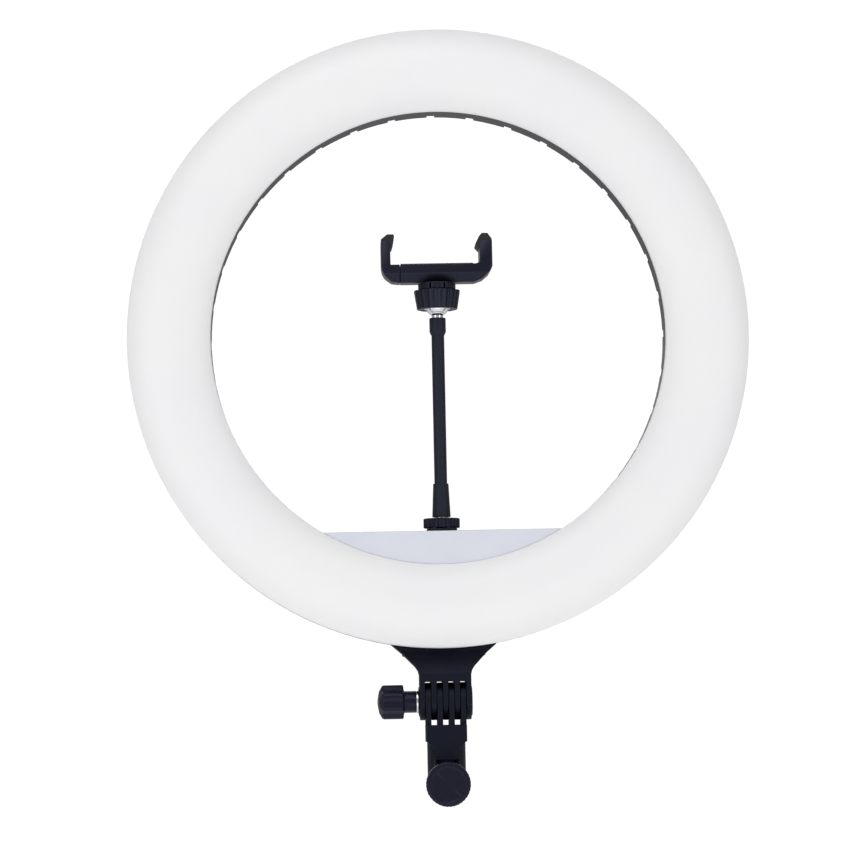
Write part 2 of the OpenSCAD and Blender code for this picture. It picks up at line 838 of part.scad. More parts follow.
module clamp_body() {
    color("black") difference() {
        union() {
            clamp_shape() polygon([[seam_x, clamp_low_z], [27, clamp_low_z], [33, clamp_low_z + 2.2],
                [37.8, clamp_low_z + 6.5], [clamp_half_w, clamp_low_z + 11], [clamp_half_w, grip_z],
                [right_face_x, grip_z], [right_face_x, clamp_top_z + 1], [28.5, clamp_top_z],
                [seam_x, clamp_top_z]]);
            at_neck(ball_z - collet_drop) cylinder(r = collet_r, h = clamp_low_z - ball_z + collet_drop);
            at_neck(collet_block_z) cylinder(r = collet_block_r, h = clamp_low_z - collet_block_z + eps);
        }
        at_neck(ball_z) sphere(cavity_r);
        for (a = [22.5:45:359]) at_neck(ball_z - collet_drop - cut) rotate(a)
            translate([8.6, -collet_slit_w / 2, 0]) cube([8, collet_slit_w, collet_drop + cut + 14.8]);
        // sliding way for the jaw's tongue, and the spring behind it
        translate([seam_x - cut, neck_y - tongue_w / 2 - gap, tongue_z - tongue_h / 2 - gap])
            cube([channel_end_x - seam_x + cut, tongue_w + 2 * gap, tongue_h + 2 * gap]);
        for (s = [-1, 1]) along_x(channel_end_x - cut, neck_y + s * rod_y, tongue_z)
            cylinder(r = rod_r + seat, h = 4);
    }
}

module left_jaw() {
    foot_end_x = seam_x - gap;
    color("black") difference() {
        union() {
            clamp_shape() polygon([[foot_end_x, clamp_low_z], [-33, clamp_low_z + 0.8],
                [-37.6, clamp_low_z + 4.6], [-39.8, clamp_low_z + 8.6], [-clamp_half_w, clamp_low_z + 12],
                [-clamp_half_w, grip_z], [left_face_x, grip_z], [left_face_x, clamp_top_z],
                [foot_end_x, clamp_top_z]]);
            translate([foot_end_x - eps, neck_y - tongue_w / 2, tongue_z - tongue_h / 2])
                cube([tongue_end_x - foot_end_x + eps, tongue_w, tongue_h]);
        }
        for (s = [-1, 1]) along_x(rod_left_x - 1.5, neck_y + s * rod_y, tongue_z)
            cylinder(r = rod_r + run, h = 60);
    }
}

module left_grip() {
    color("darkslategray") clamp_shape() polygon([[-clamp_half_w, grip_z],
        [-clamp_half_w + 0.2, grip_z + 1.2], [-35.8, tip_z], [-31.2, tip_z], [-30.6, tip_z - 1.2],
        [-31.4, grip_z - 1], [-32.4, grip_z - 4.4], [left_face_x, grip_z - 5.4], [left_face_x, grip_z]]);
}

module right_grip() {
    color("darkslategray") clamp_shape() polygon([[clamp_half_w, grip_z], [clamp_half_w - 0.8, grip_z + 1.4],
        [37.2, tip_z], [33, tip_z], [31, tip_z - 2.4], [28.2, grip_z - 3.2], [right_face_x, grip_z - 6.4],
        [right_face_x, grip_z]]);
}

module back_pad() {
    color("darkslategray") translate([seam_x + 0.4, neck_y - 8, clamp_top_z]) cube([52.8, 16, 1]);
}

module guide_rods() {
    color("silver") for (s = [-1, 1]) along_x(rod_left_x, neck_y + s * rod_y, tongue_z)
        cylinder(r = rod_r, h = channel_end_x - rod_left_x + 2.9);
}

module clamp_spring() {
    turns = 14;
    pitch = (channel_end_x - tongue_end_x - 0.4) / turns;
    color("silver") along_x(tongue_end_x + 0.2, neck_y, tongue_z) rotate_extrude()
        for (i = [0:turns - 1]) translate([spring_r, (i + 0.5) * pitch]) circle(pitch * 0.5 + 0.02);
}

diffuser();
chord_cover();
rear_housing();
led_board_left();
led_board_right();
warm_leds();
cool_leds();
led_leads();
driver_board();
driver_parts();
dc_inlet();
power_switch();
power_rocker();
brightness_pot();
colour_pot();
brightness_shaft();
colour_shaft();
brightness_knob();
colour_knob();
cold_shoe();
housing_screws();
board_screws();
tilt_bracket();
bracket_screws();
hinge_bolt();
hinge_washer();
hinge_knob();
stand_adapter();
thumb_insert();
thumb_screw();
thumb_knob();
pressure_pad();
shoe_foot();
shoe_wheel();
lower_collar();
neck_link(1);  // neck_link_1
neck_link(2);  // neck_link_2
neck_link(3);  // neck_link_3
neck_link(4);  // neck_link_4
neck_link(5);  // neck_link_5
neck_link(6);  // neck_link_6
neck_link(7);  // neck_link_7
neck_link(8);  // neck_link_8
neck_link(9);  // neck_link_9
neck_link(10);  // neck_link_10
upper_collar();
ball_stud();
ball_liner();
lock_ring();
clamp_body();
left_jaw();
left_grip();
right_grip();
back_pad();
guide_rods();
clamp_spring();
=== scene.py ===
import json
import math

import bmesh
import bpy
from mathutils import Matrix, Vector


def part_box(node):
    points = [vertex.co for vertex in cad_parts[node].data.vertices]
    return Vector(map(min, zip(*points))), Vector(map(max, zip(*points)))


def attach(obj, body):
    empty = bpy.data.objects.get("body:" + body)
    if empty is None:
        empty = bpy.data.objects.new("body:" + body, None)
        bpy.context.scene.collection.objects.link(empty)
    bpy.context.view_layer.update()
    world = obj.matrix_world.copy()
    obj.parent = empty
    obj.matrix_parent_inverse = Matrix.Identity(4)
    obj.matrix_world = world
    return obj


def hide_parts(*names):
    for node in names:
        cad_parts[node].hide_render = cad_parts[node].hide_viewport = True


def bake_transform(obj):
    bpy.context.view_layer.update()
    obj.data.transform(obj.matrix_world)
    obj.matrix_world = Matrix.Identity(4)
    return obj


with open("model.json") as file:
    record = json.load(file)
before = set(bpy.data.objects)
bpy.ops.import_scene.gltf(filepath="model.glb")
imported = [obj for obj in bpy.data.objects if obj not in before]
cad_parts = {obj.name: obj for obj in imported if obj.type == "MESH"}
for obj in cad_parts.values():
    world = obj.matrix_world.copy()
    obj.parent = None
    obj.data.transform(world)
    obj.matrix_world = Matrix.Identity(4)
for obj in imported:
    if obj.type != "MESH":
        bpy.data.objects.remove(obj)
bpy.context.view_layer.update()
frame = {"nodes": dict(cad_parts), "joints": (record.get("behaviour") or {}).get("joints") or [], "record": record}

MM = 0.001
TAU = 2 * math.pi
SCENE = bpy.context.scene
BODY_OF = {node: body for body, held in frame["record"]["behaviour"]["bodies"].items() for node in held}
JOINTS = {joint["name"]: joint for joint in frame["joints"]}
LOOKS = {}

# ---- Places taken from the frame ----

COVER_LOW, COVER_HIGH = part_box("diffuser")
BACK_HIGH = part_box("rear_housing")[1]
PLATE_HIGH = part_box("chord_cover")[1]
RING_Z = (COVER_LOW.z + COVER_HIGH.z) / 2
RING_R = (COVER_HIGH.x - COVER_LOW.x) / 2
FRONT_Y = COVER_LOW.y
HINGE_Z = JOINTS["head_tilt"]["pos_m"][2]
# the chord's plate stops 0.3 mm inside the opening's wall
OPEN_R = math.hypot(PLATE_HIGH.x, RING_Z - PLATE_HIGH.z) + 0.3 * MM
MIDDLE_R = (RING_R + OPEN_R) / 2
BOARD_TOP = -10.4 * MM    # front of the LED boards, from the ring plane
CHIP_COUNT = 48           # chips of each colour
BEVEL_SHARES = (1.0, 0.7, 0.45, 0.3)    # widths tried in turn, as shares of the one asked for
PROUD = 0.05 * MM         # how far a rounded edge may stand past its node's box


# ---- Nodes, meshes and pieces ----

def add(tree, kind, settings=None, links=None):
    """Adds a node to a tree, sets its properties and sockets, and links other nodes' sockets to it."""
    made = tree.nodes.new(kind)
    for key, value in (settings or {}).items():
        if isinstance(key, str) and hasattr(made, key):
            setattr(made, key, value)
        else:
            made.inputs[key].default_value = value
    for key, source in (links or {}).items():
        tree.links.new(source, made.inputs[key])
    return made


def settle(carrier):
    """The mesh that an object's modifiers give, on its own."""
    bpy.context.view_layer.update()
    seen = bpy.context.evaluated_depsgraph_get()
    return bpy.data.meshes.new_from_object(carrier.evaluated_get(seen), depsgraph=seen)


def carry(data, name="carrier"):
    """A passing object that holds a mesh or curve while it is worked on."""
    carrier = bpy.data.objects.new(name, data)
    SCENE.collection.objects.link(carrier)
    return carrier


def place(name, mesh, look, *nodes, body=None, sharp=35):
    """Makes a finished piece that stands for the CAD nodes and rides on their body."""
    mesh.materials.clear()
    mesh.materials.append(LOOKS[look])
    if not mesh.has_custom_normals:
        mesh.shade_smooth()
        mesh.set_sharp_from_angle(angle=math.radians(sharp))
    piece = bpy.data.objects.new(name, mesh)
    SCENE.collection.objects.link(piece)
    if body != "blended":
        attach(piece, body or BODY_OF[nodes[0]])
    if nodes:
        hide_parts(*nodes)
    return piece


def soften(node, width, steps=2, angle=32):
    """A copy of a CAD node's mesh with its sharp edges rounded, as far as it keeps to the node's box."""
    mesh = frame["nodes"][node].data.copy()
    work = bmesh.new()
    work.from_mesh(mesh)
    bmesh.ops.remove_doubles(work, verts=work.verts, dist=0.002 * MM)
    bmesh.ops.dissolve_limit(work, angle_limit=math.radians(0.6), verts=work.verts, edges=work.edges)
    work.to_mesh(mesh)
    work.free()
    low, high = (Vector(corner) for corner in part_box(node))
    for share in BEVEL_SHARES:
        made = softened(mesh, share * width, steps, angle)
        proud = max(max(*(low - point.co), *(point.co - high)) for point in made.vertices)
        if proud < PROUD:
            break
    return made


def softened(mesh, width, steps=2, angle=32):
    """A mesh with its sharp edges rounded by width."""
    carrier = carry(mesh)
    bevel = carrier.modifiers.new("edge", "BEVEL")
    bevel.width = width
    bevel.segments = steps
    bevel.limit_method = "ANGLE"
    bevel.angle_limit = math.radians(angle)
    bevel.use_clamp_overlap = False
    made = settle(carrier)
    made.shade_smooth()
    made.set_sharp_from_angle(angle=math.radians(35))
    carrier.modifiers.remove(bevel)
    carrier.data = made
    # broad flat faces keep their own direction, so the rounding's shade stays at the edge
    flat = carrier.modifiers.new("flat faces", "WEIGHTED_NORMAL")
    flat.keep_sharp = True
    made = settle(carrier)
    bpy.data.objects.remove(carrier)
    return made


def rounded(outline, radius, steps=5, closed=False):
    """An outline with an arc at each corner; a corner may give its own radius as a third value."""
    count = len(outline)
    made = []
    for i, corner in enumerate(outline):
        here = Vector(corner[:2])
        own = corner[2] if len(corner) > 2 else radius
        if not closed and i in (0, count - 1) or own == 0:
            made.append(tuple(here))
            continue
        to_last = Vector(outline[i - 1][:2]) - here
        to_next = Vector(outline[(i + 1) % count][:2]) - here
        half = to_last.angle(to_next) / 2
        reach = min(own / math.tan(half), 0.49 * to_last.length, 0.49 * to_next.length)
        start = here + to_last.normalized() * reach
        end = here + to_next.normalized() * reach
        for k in range(steps + 1):
            t = k / steps
            made.append(tuple((1 - t) ** 2 * start + 2 * t * (1 - t) * here + t ** 2 * end))
    return made


def turned(outline, origin, axis, turns=96, closed=False, rule=None):
    """A mesh turned about an axis from (radius, along) points; rule(angle, radius, along) flutes it."""
    points, faces, rings = [], [], []
    for radius, along in outline:
        ring = []
        for k in range(turns if radius > 1e-6 else 1):
            angle = TAU * k / turns
            reach = rule(angle, radius, along) if rule else radius
            ring.append(len(points))
            points.append((reach * math.cos(angle), reach * math.sin(angle), along))
        rings.append(ring)
    pairs = list(zip(rings, rings[1:]))
    if closed:
        pairs.append((rings[-1], rings[0]))
    for low, high in pairs:
        for k in range(turns):
            corners = [low[k % len(low)], low[(k + 1) % len(low)],
                       high[(k + 1) % len(high)], high[k % len(high)]]
            faces.append(list(dict.fromkeys(corners)))
    mesh = bpy.data.meshes.new("turned")
    mesh.from_pydata(points, [], faces)
    mesh.transform(Matrix.Translation(origin) @ Vector(axis).to_track_quat("Z", "Y").to_matrix().to_4x4())
    return outward(mesh)


def outward(mesh):
    """Merges doubled points and points every face outwards."""
    work = bmesh.new()
    work.from_mesh(mesh)
    bmesh.ops.remove_doubles(work, verts=work.verts, dist=0.001 * MM)
    bmesh.ops.recalc_face_normals(work, faces=work.faces)
    work.to_mesh(mesh)
    work.free()
    return mesh


def joined(*meshes):
    """Several meshes as one."""
    work = bmesh.new()
    for mesh in meshes:
        work.from_mesh(mesh)
    made = bpy.data.meshes.new("joined")
    work.to_mesh(made)
    work.free()
    return made


def dips(count, depth, floor, fade, power=1.0):
    """A radius rule for grips: it dips evenly round the axis, and only where the radius is above floor."""
    def rule(angle, radius, along):
        share = min(max((radius - floor) / fade, 0.0), 1.0)
        return radius - depth * share * (0.5 + 0.5 * math.cos(count * angle)) ** power
    return rule


# ---- Geometry Nodes trees for what repeats or follows a path ----

def start_tree(name, sockets):
    """A Geometry Nodes tree with named inputs, and the node that gives them."""
    tree = bpy.data.node_groups.new(name, "GeometryNodeTree")
    tree.interface.new_socket(name="Geometry", in_out="INPUT", socket_type="NodeSocketGeometry")
    for label, kind in sockets.items():
        tree.interface.new_socket(name=label, in_out="INPUT", socket_type=f"NodeSocket{kind}")
    tree.interface.new_socket(name="Geometry", in_out="OUTPUT", socket_type="NodeSocketGeometry")
    return tree, add(tree, "NodeGroupInput").outputs


def end_tree(tree, geometry, material):
    """Ends a tree in real geometry that has its material."""
    real = add(tree, "GeometryNodeRealizeInstances", links={"Geometry": geometry})
    painted = add(tree, "GeometryNodeSetMaterial",
                  links={"Geometry": real.outputs["Geometry"], "Material": material})
    add(tree, "NodeGroupOutput", links={"Geometry": painted.outputs["Geometry"]})
    return tree


def grow(tree, data=None, **values):
    """The mesh that a tree makes from its named inputs."""
    carrier = carry(data or bpy.data.meshes.new("seed"))
    modifier = carrier.modifiers.new("grow", "NODES")
    modifier.node_group = tree
    for item in tree.interface.items_tree:
        key = item.name.lower().replace(" ", "_")
        if item.in_out == "INPUT" and key in values:
            modifier[item.identifier] = values[key]
    mesh = settle(carrier)
    bpy.data.objects.remove(carrier)
    return mesh


def ring_tree():
    """Copies of a template set round a circle, each turned to face the middle."""
    tree, given = start_tree("set_round_a_ring", {
        "Template": "Object", "Count": "Int", "Radius": "Float", "First": "Float", "Material": "Material"})
    circle = add(tree, "GeometryNodeMeshCircle",
                 links={"Vertices": given["Count"], "Radius": given["Radius"]})
    item = add(tree, "GeometryNodeObjectInfo", links={"Object": given["Template"]})
    step = add(tree, "ShaderNodeMath", {"operation": "DIVIDE", 0: TAU}, {1: given["Count"]})
    index = add(tree, "GeometryNodeInputIndex")
    angle = add(tree, "ShaderNodeMath", {"operation": "MULTIPLY"},
                {0: index.outputs["Index"], 1: step.outputs["Value"]})
    turn = add(tree, "ShaderNodeCombineXYZ", links={"Z": angle.outputs["Value"]})
    copies = add(tree, "GeometryNodeInstanceOnPoints", links={
        "Points": circle.outputs["Mesh"], "Instance": item.outputs["Geometry"],
        "Rotation": turn.outputs["Vector"]})
    start = add(tree, "ShaderNodeCombineXYZ", links={"Z": given["First"]})
    moved = add(tree, "GeometryNodeTransform", links={
        "Geometry": copies.outputs["Instances"], "Rotation": start.outputs["Vector"]})
    return end_tree(tree, moved.outputs["Geometry"], given["Material"])


def row_tree():
    """Copies of a template set in a straight row."""
    tree, given = start_tree("set_in_a_row", {
        "Template": "Object", "Count": "Int", "Start": "Vector", "Step": "Vector", "Material": "Material"})
    line = add(tree, "GeometryNodeMeshLine", links={
        "Count": given["Count"], "Start Location": given["Start"], "Offset": given["Step"]})
    item = add(tree, "GeometryNodeObjectInfo", links={"Object": given["Template"]})
    copies = add(tree, "GeometryNodeInstanceOnPoints", links={
        "Points": line.outputs["Mesh"], "Instance": item.outputs["Geometry"]})
    return end_tree(tree, copies.outputs["Instances"], given["Material"])


def tube_tree():
    """A closed tube that stands up from its foot, ringed closely enough to bend smoothly."""
    tree, given = start_tree("flexible_tube", {
        "Foot": "Vector", "Top": "Vector", "Radius": "Float", "Rings": "Int", "Material": "Material"})
    path = add(tree, "GeometryNodeCurvePrimitiveLine", links={"Start": given["Foot"], "End": given["Top"]})
    ringed = add(tree, "GeometryNodeResampleCurve", links={
        "Curve": path.outputs["Curve"], "Count": given["Rings"]})
    round_section = add(tree, "GeometryNodeCurvePrimitiveCircle", {"Resolution": 64},
                        {"Radius": given["Radius"]})
    wall = add(tree, "GeometryNodeCurveToMesh", {"Fill Caps": True}, {
        "Curve": ringed.outputs["Curve"], "Profile Curve": round_section.outputs["Curve"]})
    return end_tree(tree, wall.outputs["Mesh"], given["Material"])


def coil_tree():
    """Wire wound into a coil along Z."""
    tree, given = start_tree("wound_coil", {
        "Turns": "Float", "Length": "Float", "Radius": "Float", "Wire": "Float", "Material": "Material"})
    path = add(tree, "GeometryNodeCurveSpiral", {"Resolution": 28}, {
        "Rotations": given["Turns"], "Height": given["Length"],
        "Start Radius": given["Radius"], "End Radius": given["Radius"]})
    section = add(tree, "GeometryNodeCurvePrimitiveCircle", {"Resolution": 10}, {"Radius": given["Wire"]})
    wire = add(tree, "GeometryNodeCurveToMesh", {"Fill Caps": True}, {
        "Curve": path.outputs["Curve"], "Profile Curve": section.outputs["Curve"]})
    return end_tree(tree, wire.outputs["Mesh"], given["Material"])


def sweep_tree():
    """A section swept once round a circle; the section's X runs outwards and its Y back."""
    tree, given = start_tree("swept_ring", {"Radius": "Float", "Steps": "Int", "Material": "Material"})
    path = add(tree, "GeometryNodeCurvePrimitiveCircle", links={
        "Resolution": given["Steps"], "Radius": given["Radius"]})
    level = add(tree, "GeometryNodeSetCurveNormal", {"mode": "Z_UP"}, {"Curve": path.outputs["Curve"]})
    wall = add(tree, "GeometryNodeCurveToMesh", links={
        "Curve": level.outputs["Curve"], "Profile Curve": given["Geometry"]})
    return end_tree(tree, wall.outputs["Mesh"], given["Material"])


# ---- Materials: colours are sRGB hex, pattern sizes are millimetres ----

def linear(code):
    """An sRGB hex colour as linear RGBA."""
    channels = [int(code[i:i + 2], 16) / 255 for i in (0, 2, 4)]
    return [c / 12.92 if c <= 0.04045 else ((c + 0.055) / 1.055) ** 2.4 for c in channels] + [1.0]


def surface(slot, name, colour, rough, **own):
    """A new material for one of the record's slots, with its shader's own sockets set."""
    look = bpy.data.materials.new(name)
    look.use_nodes = True
    tree = look.node_tree
    tree.nodes.clear()
    shader = add(tree, "ShaderNodeBsdfPrincipled", {
        "Base Color": linear(colour), "Roughness": rough, **{key.replace("_", " "): own[key] for key in own}})
    add(tree, "ShaderNodeOutputMaterial", links={"Surface": shader.outputs["BSDF"]})
    LOOKS[slot] = look
    return tree, shader, add(tree, "ShaderNodeTexCoord").outputs["Object"]


def per(size):
    """The scale of a pattern whose features are size millimetres across."""
    return 1 / (size * MM)


def dress(tree, shader, pattern, tones=None, rough=None, depth=None):
    """Lets a pattern from 0 to 1 show in a surface's colour, its gloss and its relief (depth in mm)."""
    if tones:
        mixed = add(tree, "ShaderNodeMixRGB", {"Color1": linear(tones[0]), "Color2": linear(tones[1])},
                    {"Fac": pattern})
        tree.links.new(mixed.outputs["Color"], shader.inputs["Base Color"])
    if rough:
        spread = add(tree, "ShaderNodeMapRange", {"To Min": rough[0], "To Max": rough[1]}, {"Value": pattern})
        tree.links.new(spread.outputs["Result"], shader.inputs["Roughness"])
    if depth:
        bump = add(tree, "ShaderNodeBump", {"Distance": depth * MM}, {"Height": pattern})
        tree.links.new(bump.outputs["Normal"], shader.inputs["Normal"])


def opal_pmma():
    # injection-moulded opal acrylic: milky, satin, faintly cloudy where the melt flowed
    tree, shader, spot = surface("opal_plastic", "opal acrylic, satin moulded", "f3f3f5", 0.42,
                                 IOR=1.49, Subsurface_Weight=0.25, Subsurface_Scale=0.008,
                                 Subsurface_Radius=(1.0, 1.0, 1.0))
    clouds = add(tree, "ShaderNodeTexNoise", {"Scale": per(55), "Detail": 2.0, "Roughness": 0.4},
                 {"Vector": spot})
    dress(tree, shader, clouds.outputs["Fac"], tones=("f1f1f4", "f6f6f6"))
    skin = add(tree, "ShaderNodeTexNoise", {"Scale": per(1.6), "Detail": 3.0}, {"Vector": spot})
    dress(tree, shader, skin.outputs["Fac"], rough=(0.38, 0.48), depth=0.012)


def white_abs():
    # injection-moulded ABS: cool light grey, satin, with a fine spark-eroded grain
    tree, shader, spot = surface("white_abs", "white ABS, satin moulded", "ced2dc", 0.45, IOR=1.54)
    clouds = add(tree, "ShaderNodeTexNoise", {"Scale": per(30), "Detail": 2.0}, {"Vector": spot})
    dress(tree, shader, clouds.outputs["Fac"], tones=("ccd0db", "d7dae3"))
    grain = add(tree, "ShaderNodeTexNoise", {"Scale": per(0.9), "Detail": 4.0}, {"Vector": spot})
    dress(tree, shader, grain.outputs["Fac"], rough=(0.4, 0.52), depth=0.02)


def edges_worn_and_lit(tree, start=0.53, end=0.6):
    """A pattern that rises to 1 on outer edges; the lighter tone it gives there is partly wear where handling
    polishes a moulding and partly a painted highlight along the edges.
    """
    shape = add(tree, "ShaderNodeNewGeometry")
    edge = add(tree, "ShaderNodeMapRange", {"From Min": start, "From Max": end},
               {"Value": shape.outputs["Pointiness"]})
    return edge.outputs["Result"]


def black_abs():
    # moulded ABS with a spark-eroded texture: near black, even, broken up into fine matt grains
    tree, shader, spot = surface("black_abs", "black ABS, spark-eroded texture", "1b1b22", 0.5, IOR=1.54)
    grain = add(tree, "ShaderNodeTexVoronoi", {"feature": "SMOOTH_F1", "Scale": per(0.8), "Smoothness": 0.6},
                {"Vector": spot})
    dress(tree, shader, grain.outputs["Distance"], rough=(0.42, 0.6), depth=0.05)
    handling = add(tree, "ShaderNodeTexNoise", {"Scale": per(18), "Detail": 5.0}, {"Vector": spot})
    dress(tree, shader, handling.outputs["Fac"], tones=("17171d", "212129"))


def black_nylon():
    # glass-filled nylon: blue-black and satin, with short glass fibres just under the skin
    tree, shader, spot = surface("black_nylon", "glass-filled nylon, moulded", "0a0b11", 0.4, IOR=1.53,
                                 Specular_IOR_Level=0.22, Specular_Tint=linear("c6d2ff"))
    along = add(tree, "ShaderNodeMapping", {"Scale": (1.0, 1.0, 0.35)}, {"Vector": spot})
    fibres = add(tree, "ShaderNodeTexNoise", {"Scale": per(0.7), "Detail": 6.0, "Distortion": 1.2},
                 {"Vector": along.outputs["Vector"]})
    dress(tree, shader, fibres.outputs["Fac"], rough=(0.4, 0.6), depth=0.03)
    flow = add(tree, "ShaderNodeTexNoise", {"Scale": per(9), "Detail": 4.0, "Distortion": 0.8},
               {"Vector": spot})
    dress(tree, shader, flow.outputs["Fac"], tones=("07080c", "0d0d17"))


def knob_nylon():
    # moulded nylon knobs: black with a violet cast, handled until it is smooth and a little glossy
    tree, shader, spot = surface("knob_plastic", "black nylon knob, handled smooth", "12111c", 0.36, IOR=1.53,
                                 Specular_IOR_Level=0.28, Specular_Tint=linear("ccd4ff"))
    # the outer edges are painted lighter: partly wear from handling, partly a painted highlight along the edges
    dress(tree, shader, edges_worn_and_lit(tree), tones=("100f1a", "282735"))
    touch = add(tree, "ShaderNodeTexNoise", {"Scale": per(4), "Detail": 5.0}, {"Vector": spot})
    dress(tree, shader, touch.outputs["Fac"], rough=(0.28, 0.46), depth=0.015)


def gloss_abs():
    # polished ABS of the switch and inlet: black and shiny, with a few fine hairline scuffs
    tree, shader, spot = surface("gloss_black", "black ABS, polished", "111114", 0.2, IOR=1.54)
    along = add(tree, "ShaderNodeMapping", {"Rotation": (0.3, 0.5, 0.2), "Scale": (1.0, 0.08, 1.0)},
                {"Vector": spot})
    scuffs = add(tree, "ShaderNodeTexNoise", {"Scale": per(0.4), "Detail": 2.0},
                 {"Vector": along.outputs["Vector"]})
    dress(tree, shader, scuffs.outputs["Fac"], tones=("0f0f12", "17171b"), rough=(0.14, 0.3), depth=0.002)


def clamp_abs():
    # moulded ABS of the clamp: black with a violet cast, smooth, with lighter edges that are partly polished by
    # use and partly a painted highlight
    tree, shader, spot = surface("clamp_plastic", "black ABS, satin moulded", "0e0e16", 0.34, IOR=1.54,
                                 Specular_IOR_Level=0.36, Specular_Tint=linear("ccd4ff"))
    # the outer edges are painted lighter: partly wear from use, partly a painted highlight along the edges
    dress(tree, shader, edges_worn_and_lit(tree), tones=("0b0c13", "2c2b38"))
    skin = add(tree, "ShaderNodeTexNoise", {"Scale": per(1.2), "Detail": 5.0}, {"Vector": spot})
    dress(tree, shader, skin.outputs["Fac"], rough=(0.27, 0.42), depth=0.012)


def rubber():
    # moulded thermoplastic rubber: dull greenish black with a dusty bloom
    tree, shader, spot = surface("grip_rubber", "thermoplastic rubber, matt", "1b1e1b", 0.78, IOR=1.52,
                                 Sheen_Weight=0.05, Sheen_Roughness=0.5, Specular_IOR_Level=0.35)
    bloom = add(tree, "ShaderNodeTexNoise", {"Scale": per(2.5), "Detail": 6.0}, {"Vector": spot})
    dress(tree, shader, bloom.outputs["Fac"], tones=("161915", "262a25"), rough=(0.68, 0.86), depth=0.03)


def sleeve_pvc():
    # heat-shrunk PVC over a steel core: dull blue-black, with faint draw lines along its length
    tree, shader, spot = surface("neck_sleeve", "PVC sleeve, matt", "111418", 0.56, IOR=1.53,
                                 Specular_IOR_Level=0.36, Specular_Tint=linear("ccd8ff"))
    along = add(tree, "ShaderNodeMapping", {"Scale": (1.0, 1.0, 0.02)}, {"Vector": spot})
    lines = add(tree, "ShaderNodeTexNoise", {"Scale": per(0.6), "Detail": 3.0},
                {"Vector": along.outputs["Vector"]})
    dress(tree, shader, lines.outputs["Fac"], rough=(0.48, 0.62), depth=0.02)
    dust = add(tree, "ShaderNodeTexNoise", {"Scale": per(7), "Detail": 5.0}, {"Vector": spot})
    dress(tree, shader, dust.outputs["Fac"], tones=("0e1114", "171a20"))


def anodised():
    # black anodised aluminium: dark, fine brushed lines run along the shoe's channel
    tree, shader, spot = surface("shoe_metal", "aluminium, black anodised", "2b2b2e", 0.42, Metallic=0.85)
    along = add(tree, "ShaderNodeMapping", {"Scale": (1.0, 0.03, 1.0)}, {"Vector": spot})
    lines = add(tree, "ShaderNodeTexNoise", {"Scale": per(0.3), "Detail": 3.0},
                {"Vector": along.outputs["Vector"]})
    dress(tree, shader, lines.outputs["Fac"], tones=("242427", "36363a"), rough=(0.34, 0.5), depth=0.006)


def zinc_plate():
    # bright zinc plate on steel: bluish silver, slightly cloudy between the plating's crystals
    tree, shader, spot = surface("zinc_steel", "steel, bright zinc plate", "c6c9cf", 0.3, Metallic=1.0)
    crystals = add(tree, "ShaderNodeTexVoronoi", {"Scale": per(0.7)}, {"Vector": spot})
    dress(tree, shader, crystals.outputs["Distance"],
          tones=("b9bdc6", "d3d4d6"), rough=(0.24, 0.4), depth=0.004)


def chrome_plate():
    # chrome over a turned ball: mirror bright, with the faintest turning lines round its axis
    tree, shader, spot = surface("chrome", "steel, chrome plate", "dcdee2", 0.14, Metallic=1.0)
    along = add(tree, "ShaderNodeMapping", {"Scale": (0.04, 0.04, 1.0)}, {"Vector": spot})
    lines = add(tree, "ShaderNodeTexNoise", {"Scale": per(0.35), "Detail": 2.0},
                {"Vector": along.outputs["Vector"]})
    dress(tree, shader, lines.outputs["Fac"], tones=("d2d4da", "e8e9eb"), rough=(0.1, 0.22), depth=0.004)


def turned_brass():
    # free-cutting brass: warm yellow with fine tool rings about the thumbscrew's axis
    tree, shader, spot = surface("brass", "brass, turned", "c9a55c", 0.3, Metallic=1.0)
    along = add(tree, "ShaderNodeMapping", {"Scale": (0.05, 1.0, 0.05)}, {"Vector": spot})
    lines = add(tree, "ShaderNodeTexNoise", {"Scale": per(0.3), "Detail": 2.0},
                {"Vector": along.outputs["Vector"]})
    dress(tree, shader, lines.outputs["Fac"], tones=("b78f47", "d9bb77"), rough=(0.22, 0.4), depth=0.006)


def natural_nylon():
    # unfilled nylon: ivory and waxy
    tree, shader, spot = surface("liner_nylon", "natural nylon, moulded", "e4e0d0", 0.4, IOR=1.53,
                                 Subsurface_Weight=0.2, Subsurface_Scale=0.002)
    wax = add(tree, "ShaderNodeTexNoise", {"Scale": per(3), "Detail": 3.0}, {"Vector": spot})
    dress(tree, shader, wax.outputs["Fac"], tones=("ddd8c6", "ebe8db"), rough=(0.34, 0.46), depth=0.005)


def white_mask():
    # white solder mask on an aluminium board, with the raised lines of its copper tracks
    tree, shader, spot = surface("board_mask", "aluminium board, white solder mask", "e9eae6", 0.35, IOR=1.5)
    tracks = add(tree, "ShaderNodeTexBrick", {"Scale": per(9), "Mortar Size": 0.06, "Mortar Smooth": 0.3},
                 {"Vector": spot})
    dress(tree, shader, tracks.outputs["Fac"], tones=("ecede9", "dfe1d8"), rough=(0.3, 0.42), depth=0.03)


def green_mask():
    # green solder mask on glass-epoxy, with the raised lines of its copper tracks
    tree, shader, spot = surface("green_board", "epoxy board, green solder mask", "145c38", 0.32, IOR=1.55)
    tracks = add(tree, "ShaderNodeTexBrick", {"Scale": per(3), "Mortar Size": 0.12, "Mortar Smooth": 0.3},
                 {"Vector": spot})
    dress(tree, shader, tracks.outputs["Fac"], tones=("125433", "2a8052"), rough=(0.26, 0.4), depth=0.035)


def phosphor(slot, name, colour, pale):
    # phosphor in silicone gel: matt yellow grains held in a clear soft dome
    tree, shader, spot = surface(slot, name, colour, 0.3, IOR=1.41, Subsurface_Weight=0.3,
                                 Subsurface_Scale=0.0008)
    grains = add(tree, "ShaderNodeTexVoronoi", {"Scale": per(0.15)}, {"Vector": spot})
    dress(tree, shader, grains.outputs["Distance"], tones=(colour, pale), rough=(0.22, 0.4), depth=0.004)


